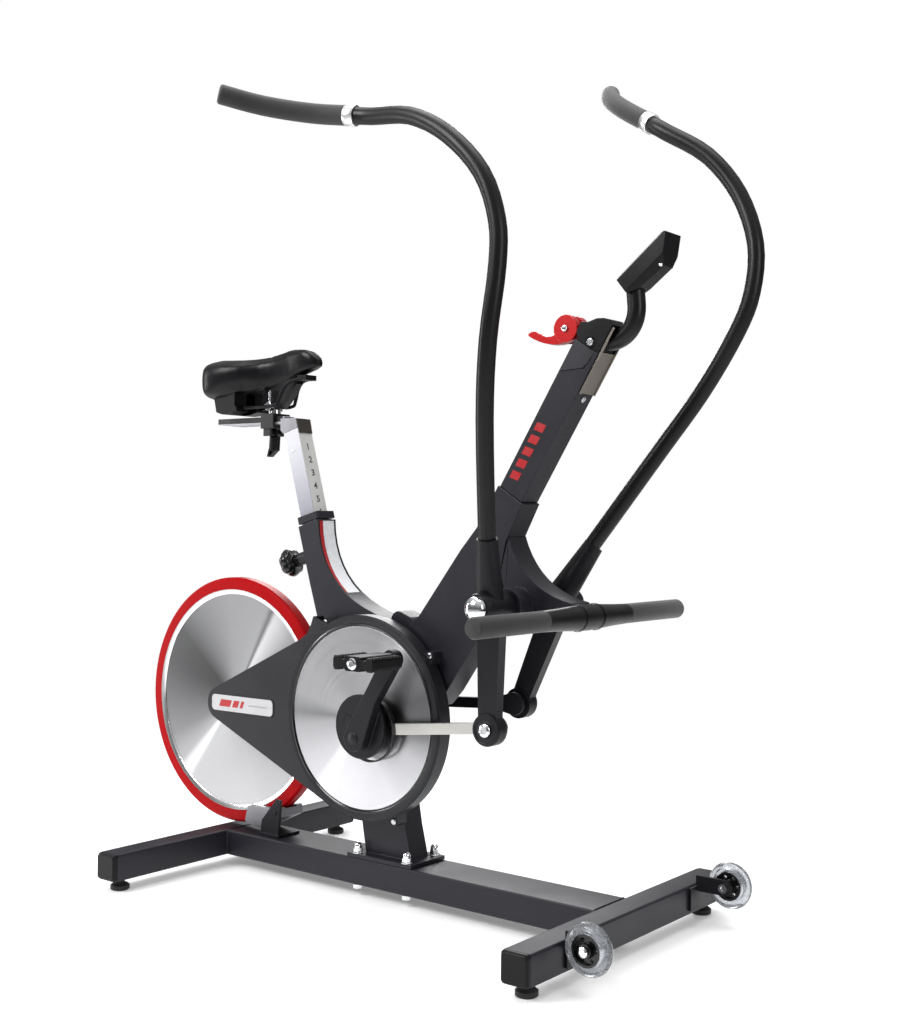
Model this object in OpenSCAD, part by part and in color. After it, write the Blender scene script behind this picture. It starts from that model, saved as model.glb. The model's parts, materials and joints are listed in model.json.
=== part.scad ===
// Upright air bike with swinging arms. Millimetres. +X is forward, +Y the rider's left, +Z up.
// The origin lies on the floor, in the middle of the machine's length and width. The modules below are drawn
// with X measured from the flywheel axle, and placed() moves them.

/* [Base] */
// side of the square stabiliser tube
tube = 50.8; // [40:0.2:60]
// wall of every base tube
wall = 3; // [2:0.5:5]
// gap between the floor and the tubes
foot_gap = 22; // [15:1:35]
// width of the flat rail
rail_w = 100; // [80:1:120]
// forward position of the front stabiliser
front_x = 928; // [850:1:1000]
// half length of the rear stabiliser tube
rear_half = 326; // [280:1:360]
// half length of the front stabiliser tube
front_half = 302; // [260:1:340]
// corner radius of the base tubes
tube_corner = 4; // [2:0.5:8]
// radius of a levelling foot
foot_r = 18; // [14:1:25]

/* [Transport wheels] */
// forward position of the transport wheels
wheel_x = 1008; // [980:1:1040]
// height of their axle
wheel_z = 74; // [60:1:90]
// outer radius
wheel_r = 41; // [35:1:50]
// sideways position of the wheel's inner face
wheel_y = 218; // [180:1:260]

/* [Drive] */
// forward position of the crank axle
crank_x = 398; // [360:1:440]
// height of the crank axle
crank_z = 340; // [300:1:380]
// crank length
crank_len = 168; // [150:1:180]
// angle of the right crank above the forward axis
crank_angle = 46; // [0:1:359]
// offset of the eccentric that drives the arms
ecc = 44; // [30:1:50]
// radius of the crank's drive pulley
pulley_r = 140; // [120:1:150]
// radius of the flywheel's belt pulley
pinion_r = 14; // [12:0.5:15]
// outer radius of the drive cover
cover_r = 191; // [170:1:210]
// radius of the polished cover disc
disc_r = 170.7; // [150:0.1:180]
// outer face of the drive cover
cover_y = 66; // [55:1:80]

/* [Flywheel] */
// outer radius of the flywheel
fly_r = 252; // [220:1:260]
// height of the flywheel axle
fly_z = 333; // [300:1:360]

/* [Arms] */
// forward position of the arm pivot
pivot_x = 728; // [700:1:760]
// height of the arm pivot
pivot_z = 563; // [540:1:600]
// swing of each arm away from its middle position at rest
rest_swing = 11.5; // [0:0.1:12]
// length of the lower lever
lever_len = 206; // [180:1:240]
// backward lean of the lower lever at mid swing
lever_lean = 12; // [0:1:20]
// radius of the bent arm tube
arm_tube_r = 15; // [12:0.5:20]

/* [Seat] */
// backward lean of the seat post
post_lean = 16; // [10:1:20]
// side of the square seat post
post_side = 38.1; // [30:0.1:45]

/* [Hidden] */
$fn = 48;
top_z = foot_gap + tube;
fit = 0.05;
ecc_angle = -20;
mast_lean = 31.7;
mast_top = 292;
cover_back = 36;
gusset_y = 27;
core_r = 105;
frame_y = 25;
foot_at = [[0, rear_half - 26], [front_x, front_half - 26]];
bolt_x = [374, 494];
bolt_y = 40;
bar_x = 850;
bar_z = 548;
rod_len = 289.3;
seat_ref = [214, 710];
post_top = 182;
// half way along the machine, measured from the flywheel axle
mid_x = 407.8;
crank_pin = [crank_x + crank_len * cos(crank_angle), crank_z + crank_len * sin(crank_angle)];

function bez(a, b, c, n) = [for (i = [0 : n]) let (t = i / n)
    a * (1 - t) * (1 - t) + b * 2 * t * (1 - t) + c * t * t];
function dir2(a) = [cos(a), sin(a)];
function unit(v) = v / norm(v);
function spline(p, i, t) = let (
    n = len(p) - 1,
    a = p[max(i - 1, 0)], b = p[i], c = p[min(i + 1, n)], d = p[min(i + 2, n)]
) 0.5 * (2 * b + (c - a) * t + (2 * a - 5 * b + 4 * c - d) * t * t + (3 * b - a - 3 * c + d) * t * t * t);
// points i0 to i1 of a smooth curve through p, m points to a span
function run(p, i0, i1, m) = [for (i = [i0 : i1 - 1]) for (k = [0 : m - 1]) spline(p, i, k / m), p[i1]];

// moves a finished sub-part so that the origin is in the middle of the machine's length
module placed() {
    translate([-mid_x, 0, 0]) children();
}

// flat profile in X and Z, given thickness from y0 up to y1
module slab(y0, y1) {
    translate([0, y1, 0]) rotate([90, 0, 0]) linear_extrude(y1 - y0) children();
}

// round bar along Y
module ybar(x, z, r, y0, y1) {
    translate([x, y1, z]) rotate([90, 0, 0]) cylinder(r = r, h = y1 - y0);
}

// solid of revolution about a Y axis; the profile is [radius, distance outward]; side is -1 for the right
module yturn(x, z, side) {
    translate([x, 0, z]) rotate([side > 0 ? -90 : 90, 0, 0]) rotate_extrude() children();
}

// two circles joined by their outer tangents
module link2(p1, r1, p2, r2) {
    d = norm(p2 - p1);
    a = atan2(p2[1] - p1[1], p2[0] - p1[0]);
    b = acos((r1 - r2) / d);
    translate(p1) circle(r1);
    translate(p2) circle(r2);
    polygon([p1 + r1 * dir2(a + b), p2 + r2 * dir2(a + b), p2 + r2 * dir2(a - b), p1 + r1 * dir2(a - b)]);
}

// rectangle with round corners, centred
module round_rect(w, h, r) {
    square([w - 2 * r, h], center = true);
    square([w, h - 2 * r], center = true);
    for (x = [-1, 1]) {
        for (y = [-1, 1]) {
            translate([x * (w / 2 - r), y * (h / 2 - r)]) circle(r);
        }
    }
}

// solid tube of radius r swept through the points p
module sweep(p, r, m) {
    n = len(p);
    tan = [for (i = [0 : n - 1]) unit(p[min(i + 1, n - 1)] - p[max(i - 1, 0)])];
    u = [for (i = [0 : n - 1]) unit(cross(tan[i], [0, 1, 0.2]))];
    v = [for (i = [0 : n - 1]) cross(tan[i], u[i])];
    rings = [for (i = [0 : n - 1]) for (k = [0 : m - 1])
        p[i] + r * cos(360 * k / m) * u[i] + r * sin(360 * k / m) * v[i]];
    walls = [for (i = [0 : n - 2]) for (k = [0 : m - 1])
        [i * m + k, (i + 1) * m + k, (i + 1) * m + (k + 1) % m, i * m + (k + 1) % m]];
    ends = [[for (k = [0 : m - 1]) k], [for (k = [0 : m - 1]) n * m - 1 - k]];
    polyhedron(points = rings, faces = concat(walls, ends));
}

/* ---- base ---- */

module foot_holes() {
    for (f = foot_at) {
        for (s = [-1, 1]) {
            translate([f[0], s * f[1], foot_gap - 1]) cylinder(r = 5, h = wall + 8);
        }
    }
}

module foot_nuts() {
    for (f = foot_at) {
        for (s = [-1, 1]) {
            translate([f[0], s * f[1], foot_gap + wall]) cylinder(r = 10, h = 7);
        }
    }
}

module cross_tube(x, half) {
    translate([x, half, foot_gap + tube / 2]) rotate([90, 0, 0]) linear_extrude(2 * half) difference() {
        round_rect(tube, tube, tube_corner);
        round_rect(tube - 2 * wall, tube - 2 * wall, tube_corner - wall);
    }
}

module base_frame() {
    color("#2b2c30") placed() difference() {
        union() {
            cross_tube(0, rear_half);
            cross_tube(front_x, front_half);
            foot_nuts();
            translate([tube / 2, 0, foot_gap + tube / 2]) rotate([90, 0, 90])
                linear_extrude(front_x - tube) difference() {
                    round_rect(rail_w, tube, tube_corner);
                    round_rect(rail_w - 2 * wall, tube - 2 * wall, tube_corner - wall);
                }
        }
        foot_holes();
        for (x = bolt_x) {
            for (s = [-1, 1]) {
                translate([x, s * bolt_y, foot_gap - 1]) cylinder(r = 5.5, h = tube + 2);
            }
        }
    }
}

module end_cap(x, half, side) {
    inner = tube - 2 * wall - 0.2;
    translate([x, side * half, foot_gap + tube / 2]) rotate([side > 0 ? -90 : 90, 0, 0]) {
        linear_extrude(6) round_rect(tube, tube, 6);
        translate([0, 0, 6]) linear_extrude(4) round_rect(tube - 5, tube - 5, 6);
        translate([0, 0, -12]) linear_extrude(12) round_rect(inner, inner, 1);
    }
}

module base_caps() {
    color("#1b1b1d") placed() {
        for (s = [-1, 1]) {
            end_cap(0, rear_half, s);
            end_cap(front_x, front_half, s);
        }
    }
}

module foot(row, side) {
    f = foot_at[row];
    color("#111112") placed() translate([f[0], side * f[1], 0]) rotate_extrude()
        polygon([[0, 0], [foot_r - 2, 0], [foot_r, 2], [foot_r, 9], [foot_r - 4, 12], [9, 12],
            [9, foot_gap - 0.2], [5 - fit, foot_gap - 0.2], [5 - fit, 46], [4, 47], [0, 47]]);
}

module wheel_ear(side) {
    ear = [wheel_y - 12, wheel_y - 6];
    face = front_x + tube / 2;
    y0 = side > 0 ? ear[0] : -ear[1];
    slab(y0, y0 + 6) difference() {
        union() {
            translate([wheel_x, wheel_z]) circle(14);
            translate([face, wheel_z - 14]) square([wheel_x - face, 28]);
            translate([face, 30]) square([5, 40]);
        }
        translate([wheel_x, wheel_z]) circle(4 + 2 * fit);
    }
    translate([face, side > 0 ? ear[0] - 26 : -ear[0], 30]) cube([5, 26, 40]);
}

module wheel_brackets() {
    color("#161617") placed() {
        wheel_ear(-1);
        wheel_ear(1);
    }
}

module wheel_bolt(side) {
    yturn(wheel_x, wheel_z, side) polygon([[0, wheel_y - 16], [4, wheel_y - 16], [4, wheel_y + 26],
        [8, wheel_y + 26], [8, wheel_y + 30], [5, wheel_y + 32], [0, wheel_y + 32]]);
    yturn(wheel_x, wheel_z, side) polygon([[4.02, wheel_y - 18.1], [8, wheel_y - 18.1], [8, wheel_y - 12.1],
        [4.02, wheel_y - 12.1]]);
}

module wheel_bolts() {
    color("#c9ccd0") placed() {
        wheel_bolt(-1);
        wheel_bolt(1);
    }
}

module wheel_tyre(side) {
    color([0.55, 0.57, 0.6, 0.75]) placed() yturn(wheel_x, wheel_z, side)
        polygon([[25, wheel_y + 2], [30, wheel_y], [36, wheel_y + 3], [39.5, wheel_y + 7],
            [wheel_r, wheel_y + 12], [39.5, wheel_y + 17], [36, wheel_y + 21], [30, wheel_y + 24],
            [25, wheel_y + 22]]);
}

module wheel_hub(side) {
    color("#191a1c") placed() difference() {
        yturn(wheel_x, wheel_z, side) polygon([[4 + fit, wheel_y - 1], [11, wheel_y - 1],
            [12, wheel_y + 8], [21, wheel_y + 8], [21, wheel_y + 2], [24.98, wheel_y + 2],
            [24.98, wheel_y + 22], [21, wheel_y + 22], [21, wheel_y + 16], [12, wheel_y + 16],
            [11, wheel_y + 25], [4 + fit, wheel_y + 25]]);
        for (a = [0 : 60 : 300]) {
            ybar(wheel_x + 16.5 * cos(a), wheel_z + 16.5 * sin(a), 3, side > 0 ? wheel_y : -wheel_y - 24,
                side > 0 ? wheel_y + 24 : -wheel_y);
        }
    }
}

/* ---- main frame ---- */

module core_hole() {
    translate([crank_x, crank_z]) circle(core_r);
}

module frame_core() {
    color("#2b2c30") placed() difference() {
        union() {
            slab(-frame_y, frame_y) core_hole();
            slab(-frame_y, frame_y) polygon([[345, 260], [356, 200], [369, 140], [380, top_z + 8],
                [492, top_z + 8], [477, 140], [466, 200], [458, 260]]);
            ybar(crank_x, crank_z, 32, -35, 35);
            translate([355, -rail_w / 2, top_z]) cube([157, rail_w, 8]);
        }
        slab(-frame_y + 5, frame_y - 5) difference() {
            translate([crank_x, crank_z]) circle(core_r - 6);
            translate([crank_x, crank_z]) circle(36);
        }
        slab(-frame_y + 5, frame_y - 5) polygon([[375, 190], [386, 96], [474, 96], [460, 190]]);
        ybar(crank_x, crank_z, 12.5 + fit, -40, 40);
        for (x = bolt_x) {
            for (s = [-1, 1]) {
                translate([x, s * bolt_y, top_z - 1]) cylinder(r = 5.5, h = 10);
                translate([x, s * bolt_y, top_z + 8]) cylinder(r = 11, h = 30);
            }
        }
    }
}

module base_fastener(x, y) {
    translate([x, y, foot_gap - 8]) cylinder(r = 9, h = 8, $fn = 6);
    translate([x, y, foot_gap]) cylinder(r = 5, h = tube + 18);
    translate([x, y, top_z + 8]) difference() {
        union() {
            cylinder(r = 9, h = 9, $fn = 6);
            translate([0, 0, 9]) cylinder(r = 7.5, h = 4);
            translate([0, 0, 13]) sphere(7.5);
        }
        translate([0, 0, -1]) cylinder(r = 5 + fit, h = 14);
    }
}

module base_fasteners() {
    color("#cfd2d6") placed() {
        for (x = bolt_x) {
            for (s = [-1, 1]) {
                base_fastener(x, s * bolt_y);
            }
        }
    }
}

// square socket along the seat post's axis
module post_hole(side) {
    translate([seat_ref[0], 0, seat_ref[1]]) rotate([0, -post_lean, 0])
        translate([-side / 2, -side / 2, -262]) cube([side, side, 300]);
}

// places children on the height knob's line, +Z outward, at the rear face of the seat tube
module knob_line() {
    translate([196.5, 0, 633]) rotate([0, -90 - post_lean, 0]) children();
}

module seat_tube() {
    front = bez([247, 708], [250, 578], [395, 532], 10);
    color("#2b2c30") placed() difference() {
        union() {
            knob_line() translate([0, 0, -24]) cylinder(r = 13, h = 41);
            slab(-frame_y, frame_y) difference() {
                polygon(concat([[193, 692.3]], front,
                    [[425, 523], [430, 500], [340, 380], [280, 400], [258, 450], [246, 520], [225, 585]]));
                translate([crank_x, crank_z]) circle(core_r + 0.1);
            }
        }
        post_hole(post_side + 1);
        knob_line() translate([0, 0, -30]) cylinder(r = 5 + fit, h = 50);
    }
}

module seat_collar() {
    color("#141415") placed() difference() {
        translate([seat_ref[0], 0, seat_ref[1]]) rotate([0, -post_lean, 0])
            translate([3.5, 0, -7.7]) linear_extrude(14) round_rect(57, 51, 5);
        post_hole(post_side + 0.6);
    }
}

module mast_lower() {
    color("#2b2c30") placed() difference() {
        union() {
            slab(-22, 22) link2([452, 521], 18, [473, 513], 18);
            slab(-frame_y - 2, frame_y + 2) difference() {
                polygon([[683, 772], [636, 697], [600, 656], [505, 533], [440, 480], [400, 440], [470, 380],
                    [545, 370], [570, 397], [682, 557], [686, 600], [700, 672], [735, 739.7]]);
                translate([crank_x, crank_z]) circle(core_r + 0.1);
            }
        }
        arm_housing_space();
        slab(-frame_y + 3, frame_y - 3) polygon([[630, 680], [520, 540], [490, 480], [550, 390],
            [668, 560], [690, 690]]);
    }
}

// a box along the mast's axis: s0 and s1 are distances up the axis, d is across it, from rear to front
module mast_box(s0, s1, d0, d1, w) {
    translate([683, 0, 772]) rotate([0, mast_lean, 0]) translate([d0, -w / 2, s0])
        cube([d1 - d0, w, s1 - s0]);
}

// the screw in the mast's front face, this far up the mast
screw_s = 207;

module mast_upper() {
    color("#2b2c30") placed() difference() {
        mast_box(0.05, mast_top, 3, 57, 50);
        mast_box(-1, mast_top - 35, 6, 54, 44);
        mast_line(screw_s, 57) rotate([0, 90, 0]) translate([0, 0, -10]) cylinder(r = 3 + fit, h = 12);
    }
}

// places children at distance s up the mast and d across it; +X is then square to the mast's front face
module mast_line(s, d) {
    translate([683, 0, 772]) rotate([0, mast_lean, 0]) translate([d, 0, s]) children();
}

module arm_housing_space() {
    ybar(pivot_x, pivot_z, 32.1, -70, 70);
}

module flywheel_stays() {
    color("#232427") placed() {
        for (s = [-1, 1]) {
            slab(s > 0 ? frame_y : -frame_y - 8, s > 0 ? frame_y + 8 : -frame_y) difference() {
                link2([0, fly_z], 26, [330, crank_z], 55);
                translate([0, fly_z]) circle(17.5 + fit);
                translate([crank_x, crank_z]) circle(32.1);
                translate([180, fly_z + 2]) circle(20);
            }
        }
        idler_stud();
    }
}

/* ---- drive cover ---- */

module cover_outline(grow) {
    difference() {
        union() {
            translate([crank_x, crank_z]) circle(cover_r + grow);
            link2([10, 331], 32.5 + grow, [crank_x, crank_z], cover_r + grow - 1);
            polygon([[150 - grow, 424], [190 - grow, 452], [239 - grow, 475], [258 - grow, 488],
                [268 - grow, 506], [274 - grow, 522], [318, 505], [318, 424]]);
        }
    }
}

module drive_cover() {
    color("#242529") placed() difference() {
        union() {
            slab(-cover_y + 2, -cover_back) cover_outline(0);
            yturn(crank_x, crank_z, -1) polygon([[disc_r + 1, 60], [cover_r - 1, 60],
                [cover_r - 1, cover_y - 2], [cover_r - 4, cover_y + 1], [disc_r + 5, cover_y + 1],
                [disc_r + 1, cover_y - 1]]);
        }
        slab(-cover_y + 6, -cover_back + 1) cover_outline(-3.5);
        ybar(crank_x, crank_z, 34, -80, -20);
    }
    color("#242529") placed() {
        for (a = lug_angles) {
            slab(-lug_y, -frame_y - 2.05) difference() {
                link2(lug(a, -7), 15, lug(a, 8), 9);
                translate([crank_x, crank_z]) circle(cover_r - 1);
                translate(lug(a, 8)) circle(2.5 + fit);
            }
        }
    }
}

lug_y = 52;
lug_angles = [121, 39, -68];
// the point at angle a round the cover, grow outside its edge
function lug(a, grow) = [crank_x, crank_z] + (cover_r + grow) * dir2(a);

module cover_disc() {
    color("#c7c9cc") placed() yturn(crank_x, crank_z, -1)
        polygon([[22, cover_y - 2], [disc_r - 1, cover_y - 2], [disc_r, cover_y - 1.5],
            [disc_r - 1, cover_y], [60, cover_y + 2], [22, cover_y + 2]]);
}

module screw_y(x, z, y, side) {
    yturn(x, z, side) polygon([[0, y - 14], [2.5, y - 14], [2.5, y], [6, y], [6, y + 2], [4, y + 3.5],
        [0, y + 3.5]]);
}

module frame_screws() {
    color("#cfd2d6") placed() {
        for (a = lug_angles) {
            screw_y(lug(a, 8)[0], lug(a, 8)[1], lug_y, -1);
        }
        mast_line(screw_s, 57) rotate([0, 90, 0]) rotate_extrude()
            polygon([[0, -9], [3, -9], [3, 0], [6, 0], [6, 2], [4, 3.5], [0, 3.5]]);
        for (s = [-1, 1]) {
            mast_line(301, 33) translate([0, s * 25, 0]) rotate([s * -90, 0, 0]) rotate_extrude()
                polygon([[0, 0], [6.5, 0], [6.5, 2], [4.5, 4], [0, 4]]);
        }
    }
}

/* ---- crank, belt and flywheel ---- */

module crank_axle() {
    color("#9a9da1") placed() for (s = [-1, 1]) {
        yturn(crank_x, crank_z, s) polygon([[0, 0], [12.5, 0], [12.5, 74], [9, 74], [9, 98.8], [0, 98.8]]);
    }
}

function side_angle(s) = s < 0 ? 0 : 180;
function ecc_at(s) = [crank_x, crank_z] + ecc * dir2(ecc_angle + side_angle(s));
function pin_at(s) = [crank_x, crank_z] + crank_len * dir2(crank_angle + side_angle(s));

module crank_arm(s) {
    spin = side_angle(s);
    axle = [crank_x, crank_z];
    boss = axle + 43 * dir2(crank_angle - 88 + spin);
    elbow = axle + 85 * dir2(crank_angle - 12 + spin);
    color("#17181a") placed() {
        slab(s < 0 ? -120 : 99, s < 0 ? -99 : 120) union() {
            link2(boss, 24, elbow, 15);
            link2(elbow, 15, pin_at(s), 17);
        }
        slab(s < 0 ? -99 : 90.5, s < 0 ? -90.5 : 99) difference() {
            translate(axle + 30 * dir2(ecc_angle + spin)) circle(59);
            translate(axle) circle(9 + fit);
        }
        yturn(pin_at(s)[0], pin_at(s)[1], s) polygon([[0, 120], [9, 120], [9, 124], [6, 124], [6, 214],
            [0, 214]]);
    }
}

module drive_pulley() {
    color("#3a3c40") placed() difference() {
        yturn(crank_x, crank_z, -1) polygon([[12.5 + fit, 36], [26, 36], [26, 46], [128, 46], [128, 40],
            [pulley_r, 40], [pulley_r, 56], [128, 56], [128, 50], [26, 50], [26, 57], [12.5 + fit, 57]]);
        for (a = [0 : 60 : 300]) {
            ybar(crank_x + 78 * cos(a), crank_z + 78 * sin(a), 24, -60, -36);
        }
    }
}

function arc(p, r, a0, a1, n) = [for (i = [0 : n]) p + r * dir2(a0 + (a1 - a0) * i / n)];

// the belt's path, grow outside the pulleys: once round the pinion, then round the drive pulley
module belt_loop(grow) {
    tilt = atan2(crank_z - fly_z, crank_x);
    b = 2 * tilt - belt_slope + 90;
    polygon(concat(arc([0, fly_z], pinion_r + grow, b, belt_slope + 270, 12),
        arc([crank_x, crank_z], pulley_r + grow, belt_slope - 90, b, 40)));
}

module drive_belt() {
    color("#0d0d0e") placed() slab(-55, -41) difference() {
        belt_loop(3.4);
        belt_loop(0.4);
    }
}

belt_slope = atan2(crank_z - fly_z, crank_x)
    - asin((pulley_r - pinion_r) / norm([crank_x, crank_z - fly_z]));
idler_r = 15;
idler_at = [0, fly_z] + 100 * dir2(belt_slope) + (idler_r - pinion_r) * dir2(belt_slope + 90);

module idler_pulley() {
    color("#8d9095") placed() yturn(idler_at[0], idler_at[1], -1)
        polygon([[5 + fit, 40], [12, 40], [12, 41], [15, 41], [15, 55], [12, 55], [12, 56], [5 + fit, 56]]);
}

module idler_stud() {
    yturn(idler_at[0], idler_at[1], -1)
        polygon([[0, 28], [11, 28], [11, 39.5], [5, 39.5], [5, 57], [9, 57], [9, 59], [0, 59]]);
}

module flywheel_disc() {
    color("#b9bcc0") placed() difference() {
        yturn(0, fly_z, 1) polygon([[8.52, -22], [30, -22], [34, -12], [226, -10], [226, 10], [34, 12],
            [30, 22], [8.52, 22]]);
    }
}

module flywheel_rim() {
    color("#c3121c") placed() yturn(0, fly_z, 1)
        polygon([[226, -12], [230, -14], [248, -14], [fly_r, -10], [fly_r, 10], [248, 14], [230, 14],
            [226, 12]]);
}

module flywheel_axle() {
    color("#8d9095") placed() {
        yturn(0, fly_z, -1) polygon([[0, -38], [8.5, -38], [8.5, 40], [pinion_r, 40], [pinion_r, 56],
            [8.5, 56], [8.5, 58], [0, 58]]);
    }
}

module flywheel_bearings() {
    color("#a5a8ac") placed() for (s = [-1, 1]) {
        yturn(0, fly_z, s) polygon([[8.5 + fit, 24], [17.5, 24], [17.5, 34], [8.5 + fit, 34]]);
    }
}

/* ---- brake ---- */

brake_pivot = [150, 122];

module brake_bracket() {
    color("#151617") placed() {
        slab(-38, -32) polygon([[108, top_z + 5], [158, top_z + 5], [164, 148], [152, 150], [112, 104]]);
        translate([106, -39, top_z]) cube([54, 60, 6]);
        ybar(brake_pivot[0], brake_pivot[1], 4, -40, 33);
    }
}

module magnet_carriage() {
    color("#b3b6ba") placed() {
        for (s = [-1, 1]) {
            slab(s > 0 ? 16.5 : -31, s > 0 ? 31 : -16.5) difference() {
                union() {
                    polygon([[56, 92], [96, 84], [122, 96], [160, 114], [156, 132], [124, 128], [64, 124]]);
                }
                translate(brake_pivot) circle(4 + fit);
            }
        }
        difference() {
            slab(-16.5, 16.5) polygon([[126, 101], [148, 108], [160, 114], [156, 132], [136, 130],
                [126, 122]]);
            ybar(brake_pivot[0], brake_pivot[1], 4 + fit, -20, 20);
            ybar(0, fly_z, fly_r + 5, -20, 20);
        }
    }
}

/* ---- mast head and console ---- */

// the gear lever's pivot: distance up the mast, distance across it
lever_at = [296, -27];
lever_slot = 8.2;

// the head is a solid cap on the mast with a tongue that carries the gear lever
module mast_head() {
    color("#131315") placed() {
        mast_side(25) polygon([[-2, 322], [10, 327], [22, 340], [34, 347], [46, 350], [57, 345],
            [57, mast_top + 0.1], [9, mast_top + 0.1], [-2, 303]]);
        mast_side(lever_slot - 0.2) link2([lever_at[1], lever_at[0]], 13, [8, 314], 10);
    }
    color("#c9ccd0") placed() lever_pivot() translate([0, 0, -22]) cylinder(r = 5, h = 44);
}

// flat profile in the mast's own plane (across, up), half as thick as given on each side
module mast_side(half) {
    translate([683, 0, 772]) rotate([0, mast_lean, 0]) slab(-half, half) children();
}

module mast_plate() {
    color("#8b8578") placed() {
        mast_side(21.5) polygon([[57.4, 218], [59.8, 218], [59.8, 296], [57.4, 296]]);
        for (s = [-1, 1]) {
            translate([0, s * 21.8, 0]) mast_side(1.2)
                polygon([[57.2, 217], [62, 217], [62, 342], [57.2, 342]]);
        }
    }
}

// places children on the gear lever's axis, +Z to the rider's right
module lever_pivot() {
    mast_line(lever_at[0], lever_at[1]) rotate([90, 0, 0]) children();
}

module shifter_lever() {
    color("#cf2a2a") placed() {
        lever_pivot() difference() {
            translate([0, 0, -20]) cylinder(r = 24, h = 40);
            translate([0, 0, -21]) cylinder(r = 5 + fit, h = 42);
            translate([-14, -30, -lever_slot]) cube([50, 60, 2 * lever_slot]);
        }
        mast_line(lever_at[0], lever_at[1]) rotate([0, -mast_lean, 0]) slab(-9, 9) difference() {
            polygon(concat(bez([-6, -22], [-42, -31], [-84, -6], 8), [[-85, -3], [-83, -1], [-76, 2]],
                bez([-68, 1], [-44, -15], [-29, -7], 6), [[-18, 6]]));
            circle(23.5);
        }
    }
}

stem_r = 15.5;
stem_path = [[862, 1009], [886, 1011], [908, 1014], [926, 1024], [938, 1040], [943, 1060], [942, 1082],
    [939, 1106]];
stem_pts = [for (q = run(stem_path, 0, 7, 3)) [q[0], 0, q[1]]];
stem_end = stem_pts[len(stem_pts) - 1];

module console_stem() {
    color("#1a1a1b") placed() difference() {
        sweep(stem_pts, stem_r, 24);
        mast_box(180, 360, -120, 57.3, 80);
    }
}

module console_frame() {
    translate([917.5, 0, 1109]) rotate([0, -39, 0]) children();
}

module console_body() {
    color("#1b1c1e") placed() difference() {
        console_frame() slab(-25, 25) polygon([[1, 0], [114, 0], [117, -4], [77, -40], [24, -37],
            [1, -30]]);
        console_frame() translate([8, -21, -3]) cube([100, 42, 4]);
        for (s = [-1, 1]) {
            console_frame() translate([-5, 0, 0]) rotate([90, 0, 90]) linear_extrude(130)
                polygon([[s * 25.1, -27], [s * 3, -52], [s * 40, -52], [s * 40, -27]]);
        }
        sweep(concat(stem_pts, [2 * stem_end - stem_pts[len(stem_pts) - 2]]), stem_r + 0.1, 24);
    }
}

/* ---- foot bar ---- */

module bar_bracket() {
    curve = bez([706, 683], [738, 590], [840, 572], 10);
    under = bez([826, 548], [770, 532], [728, 533], 6);
    color("#26272b") placed() difference() {
        union() {
            slab(-gusset_y, gusset_y) difference() {
                polygon(concat(curve, [[848, 560]], under, [[700, 580], [690, 620]]));
                translate([bar_x, bar_z]) circle(22.6);
            }
            ybar(pivot_x, pivot_z, 32, -64, 64);
        }
        ybar(pivot_x, pivot_z, 12.52, -70, 70);
        mast_lower_space();
    }
}

module mast_lower_space() {
    slab(-30, 30) polygon([[600, 440], [682.1, 557], [686.1, 600], [700.1, 672], [760, 780], [600, 780]]);
}

module foot_bar() {
    color("#161618") placed() for (s = [-1, 1]) {
        yturn(bar_x, bar_z, s) polygon([[0, 0], [22.5, 0], [22, 22], [19, 80], [17.5, 128], [12, 128],
            [12, 312], [0, 312]]);
    }
}

module foot_grips() {
    color("#2c2d2f") placed() for (s = [-1, 1]) {
        yturn(bar_x, bar_z, s) polygon([[12.05, 128.1], [17.5, 128.1], [17.5, 312], [15, 317], [0, 319],
            [0, 312.1], [12.05, 312.1]]);
    }
}

/* ---- swinging arms ---- */

arm_path = [[31, 129, 114], [101, 181, 299], [149, 206, 416], [191, 209, 526], [205, 210, 599],
    [192, 213, 682], [141, 217, 764], [68, 212, 826], [-18, 203, 861], [-54, 207, 875], [-130, 230, 903],
    [-199, 280, 932], [-241, 336, 955]];
collar_at = 9;

function arm_pts(s, i0, i1, m) = [for (q = run(arm_path, i0, i1, m)) [q[0], s * q[1], q[2]]];

// the point d beyond the end of the bare tube, where the grip's collar sits
function arm_stop(s, d) = let (q = arm_pts(s, collar_at, collar_at + 1, 4)) q[0] + d * unit(q[1] - q[0]);

// the arm frame: pivot at the origin, leaned to the rest position
module arm_frame(s) {
    translate([pivot_x, 0, pivot_z]) rotate([0, s * rest_swing, 0]) children();
}

lever_pin = [-lever_len * sin(lever_lean), -lever_len * cos(lever_lean)];

module arm_shaft() {
    color("#d9dbde") placed() for (s = [-1, 1]) {
        yturn(pivot_x, pivot_z, s) polygon(concat([[0, 0], [12.5, 0], [12.5, 146], [21, 146]],
            [for (a = [0 : 15 : 90]) [21 * cos(a), 149 + 14 * sin(a)]]));
    }
}

module arm_casting(s) {
    y0 = s > 0 ? 92 : -112;
    color("#202124") placed() arm_frame(s) difference() {
        union() {
            yturn(0, 0, s) polygon([[0, 67], [24, 67], [27, 72], [27, 138], [24, 145.5], [0, 145.5]]);
            slab(y0, y0 + 20) link2([0, 0], 25, lever_pin, 18);
            slab(y0 - 1, y0 + 21) translate(lever_pin) circle(28);
            hull() {
                translate([0, s * 106, 10]) scale([1, 0.8, 1]) cylinder(r = 26, h = 14);
                translate(arm_pts(s, 0, 1, 1)[0] - [0, 0, 6]) rotate([s * -16, 20, 0])
                    cylinder(r = 18, h = 6);
            }
        }
        ybar(0, 0, 12.5 + fit, -150, 150);
        ybar(lever_pin[0], lever_pin[1], 8 + fit, -150, 150);
        translate(arm_pts(s, 0, 1, 1)[0]) rotate([s * -16, 20, 0]) cylinder(r = 40, h = 60);
    }
}

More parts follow.
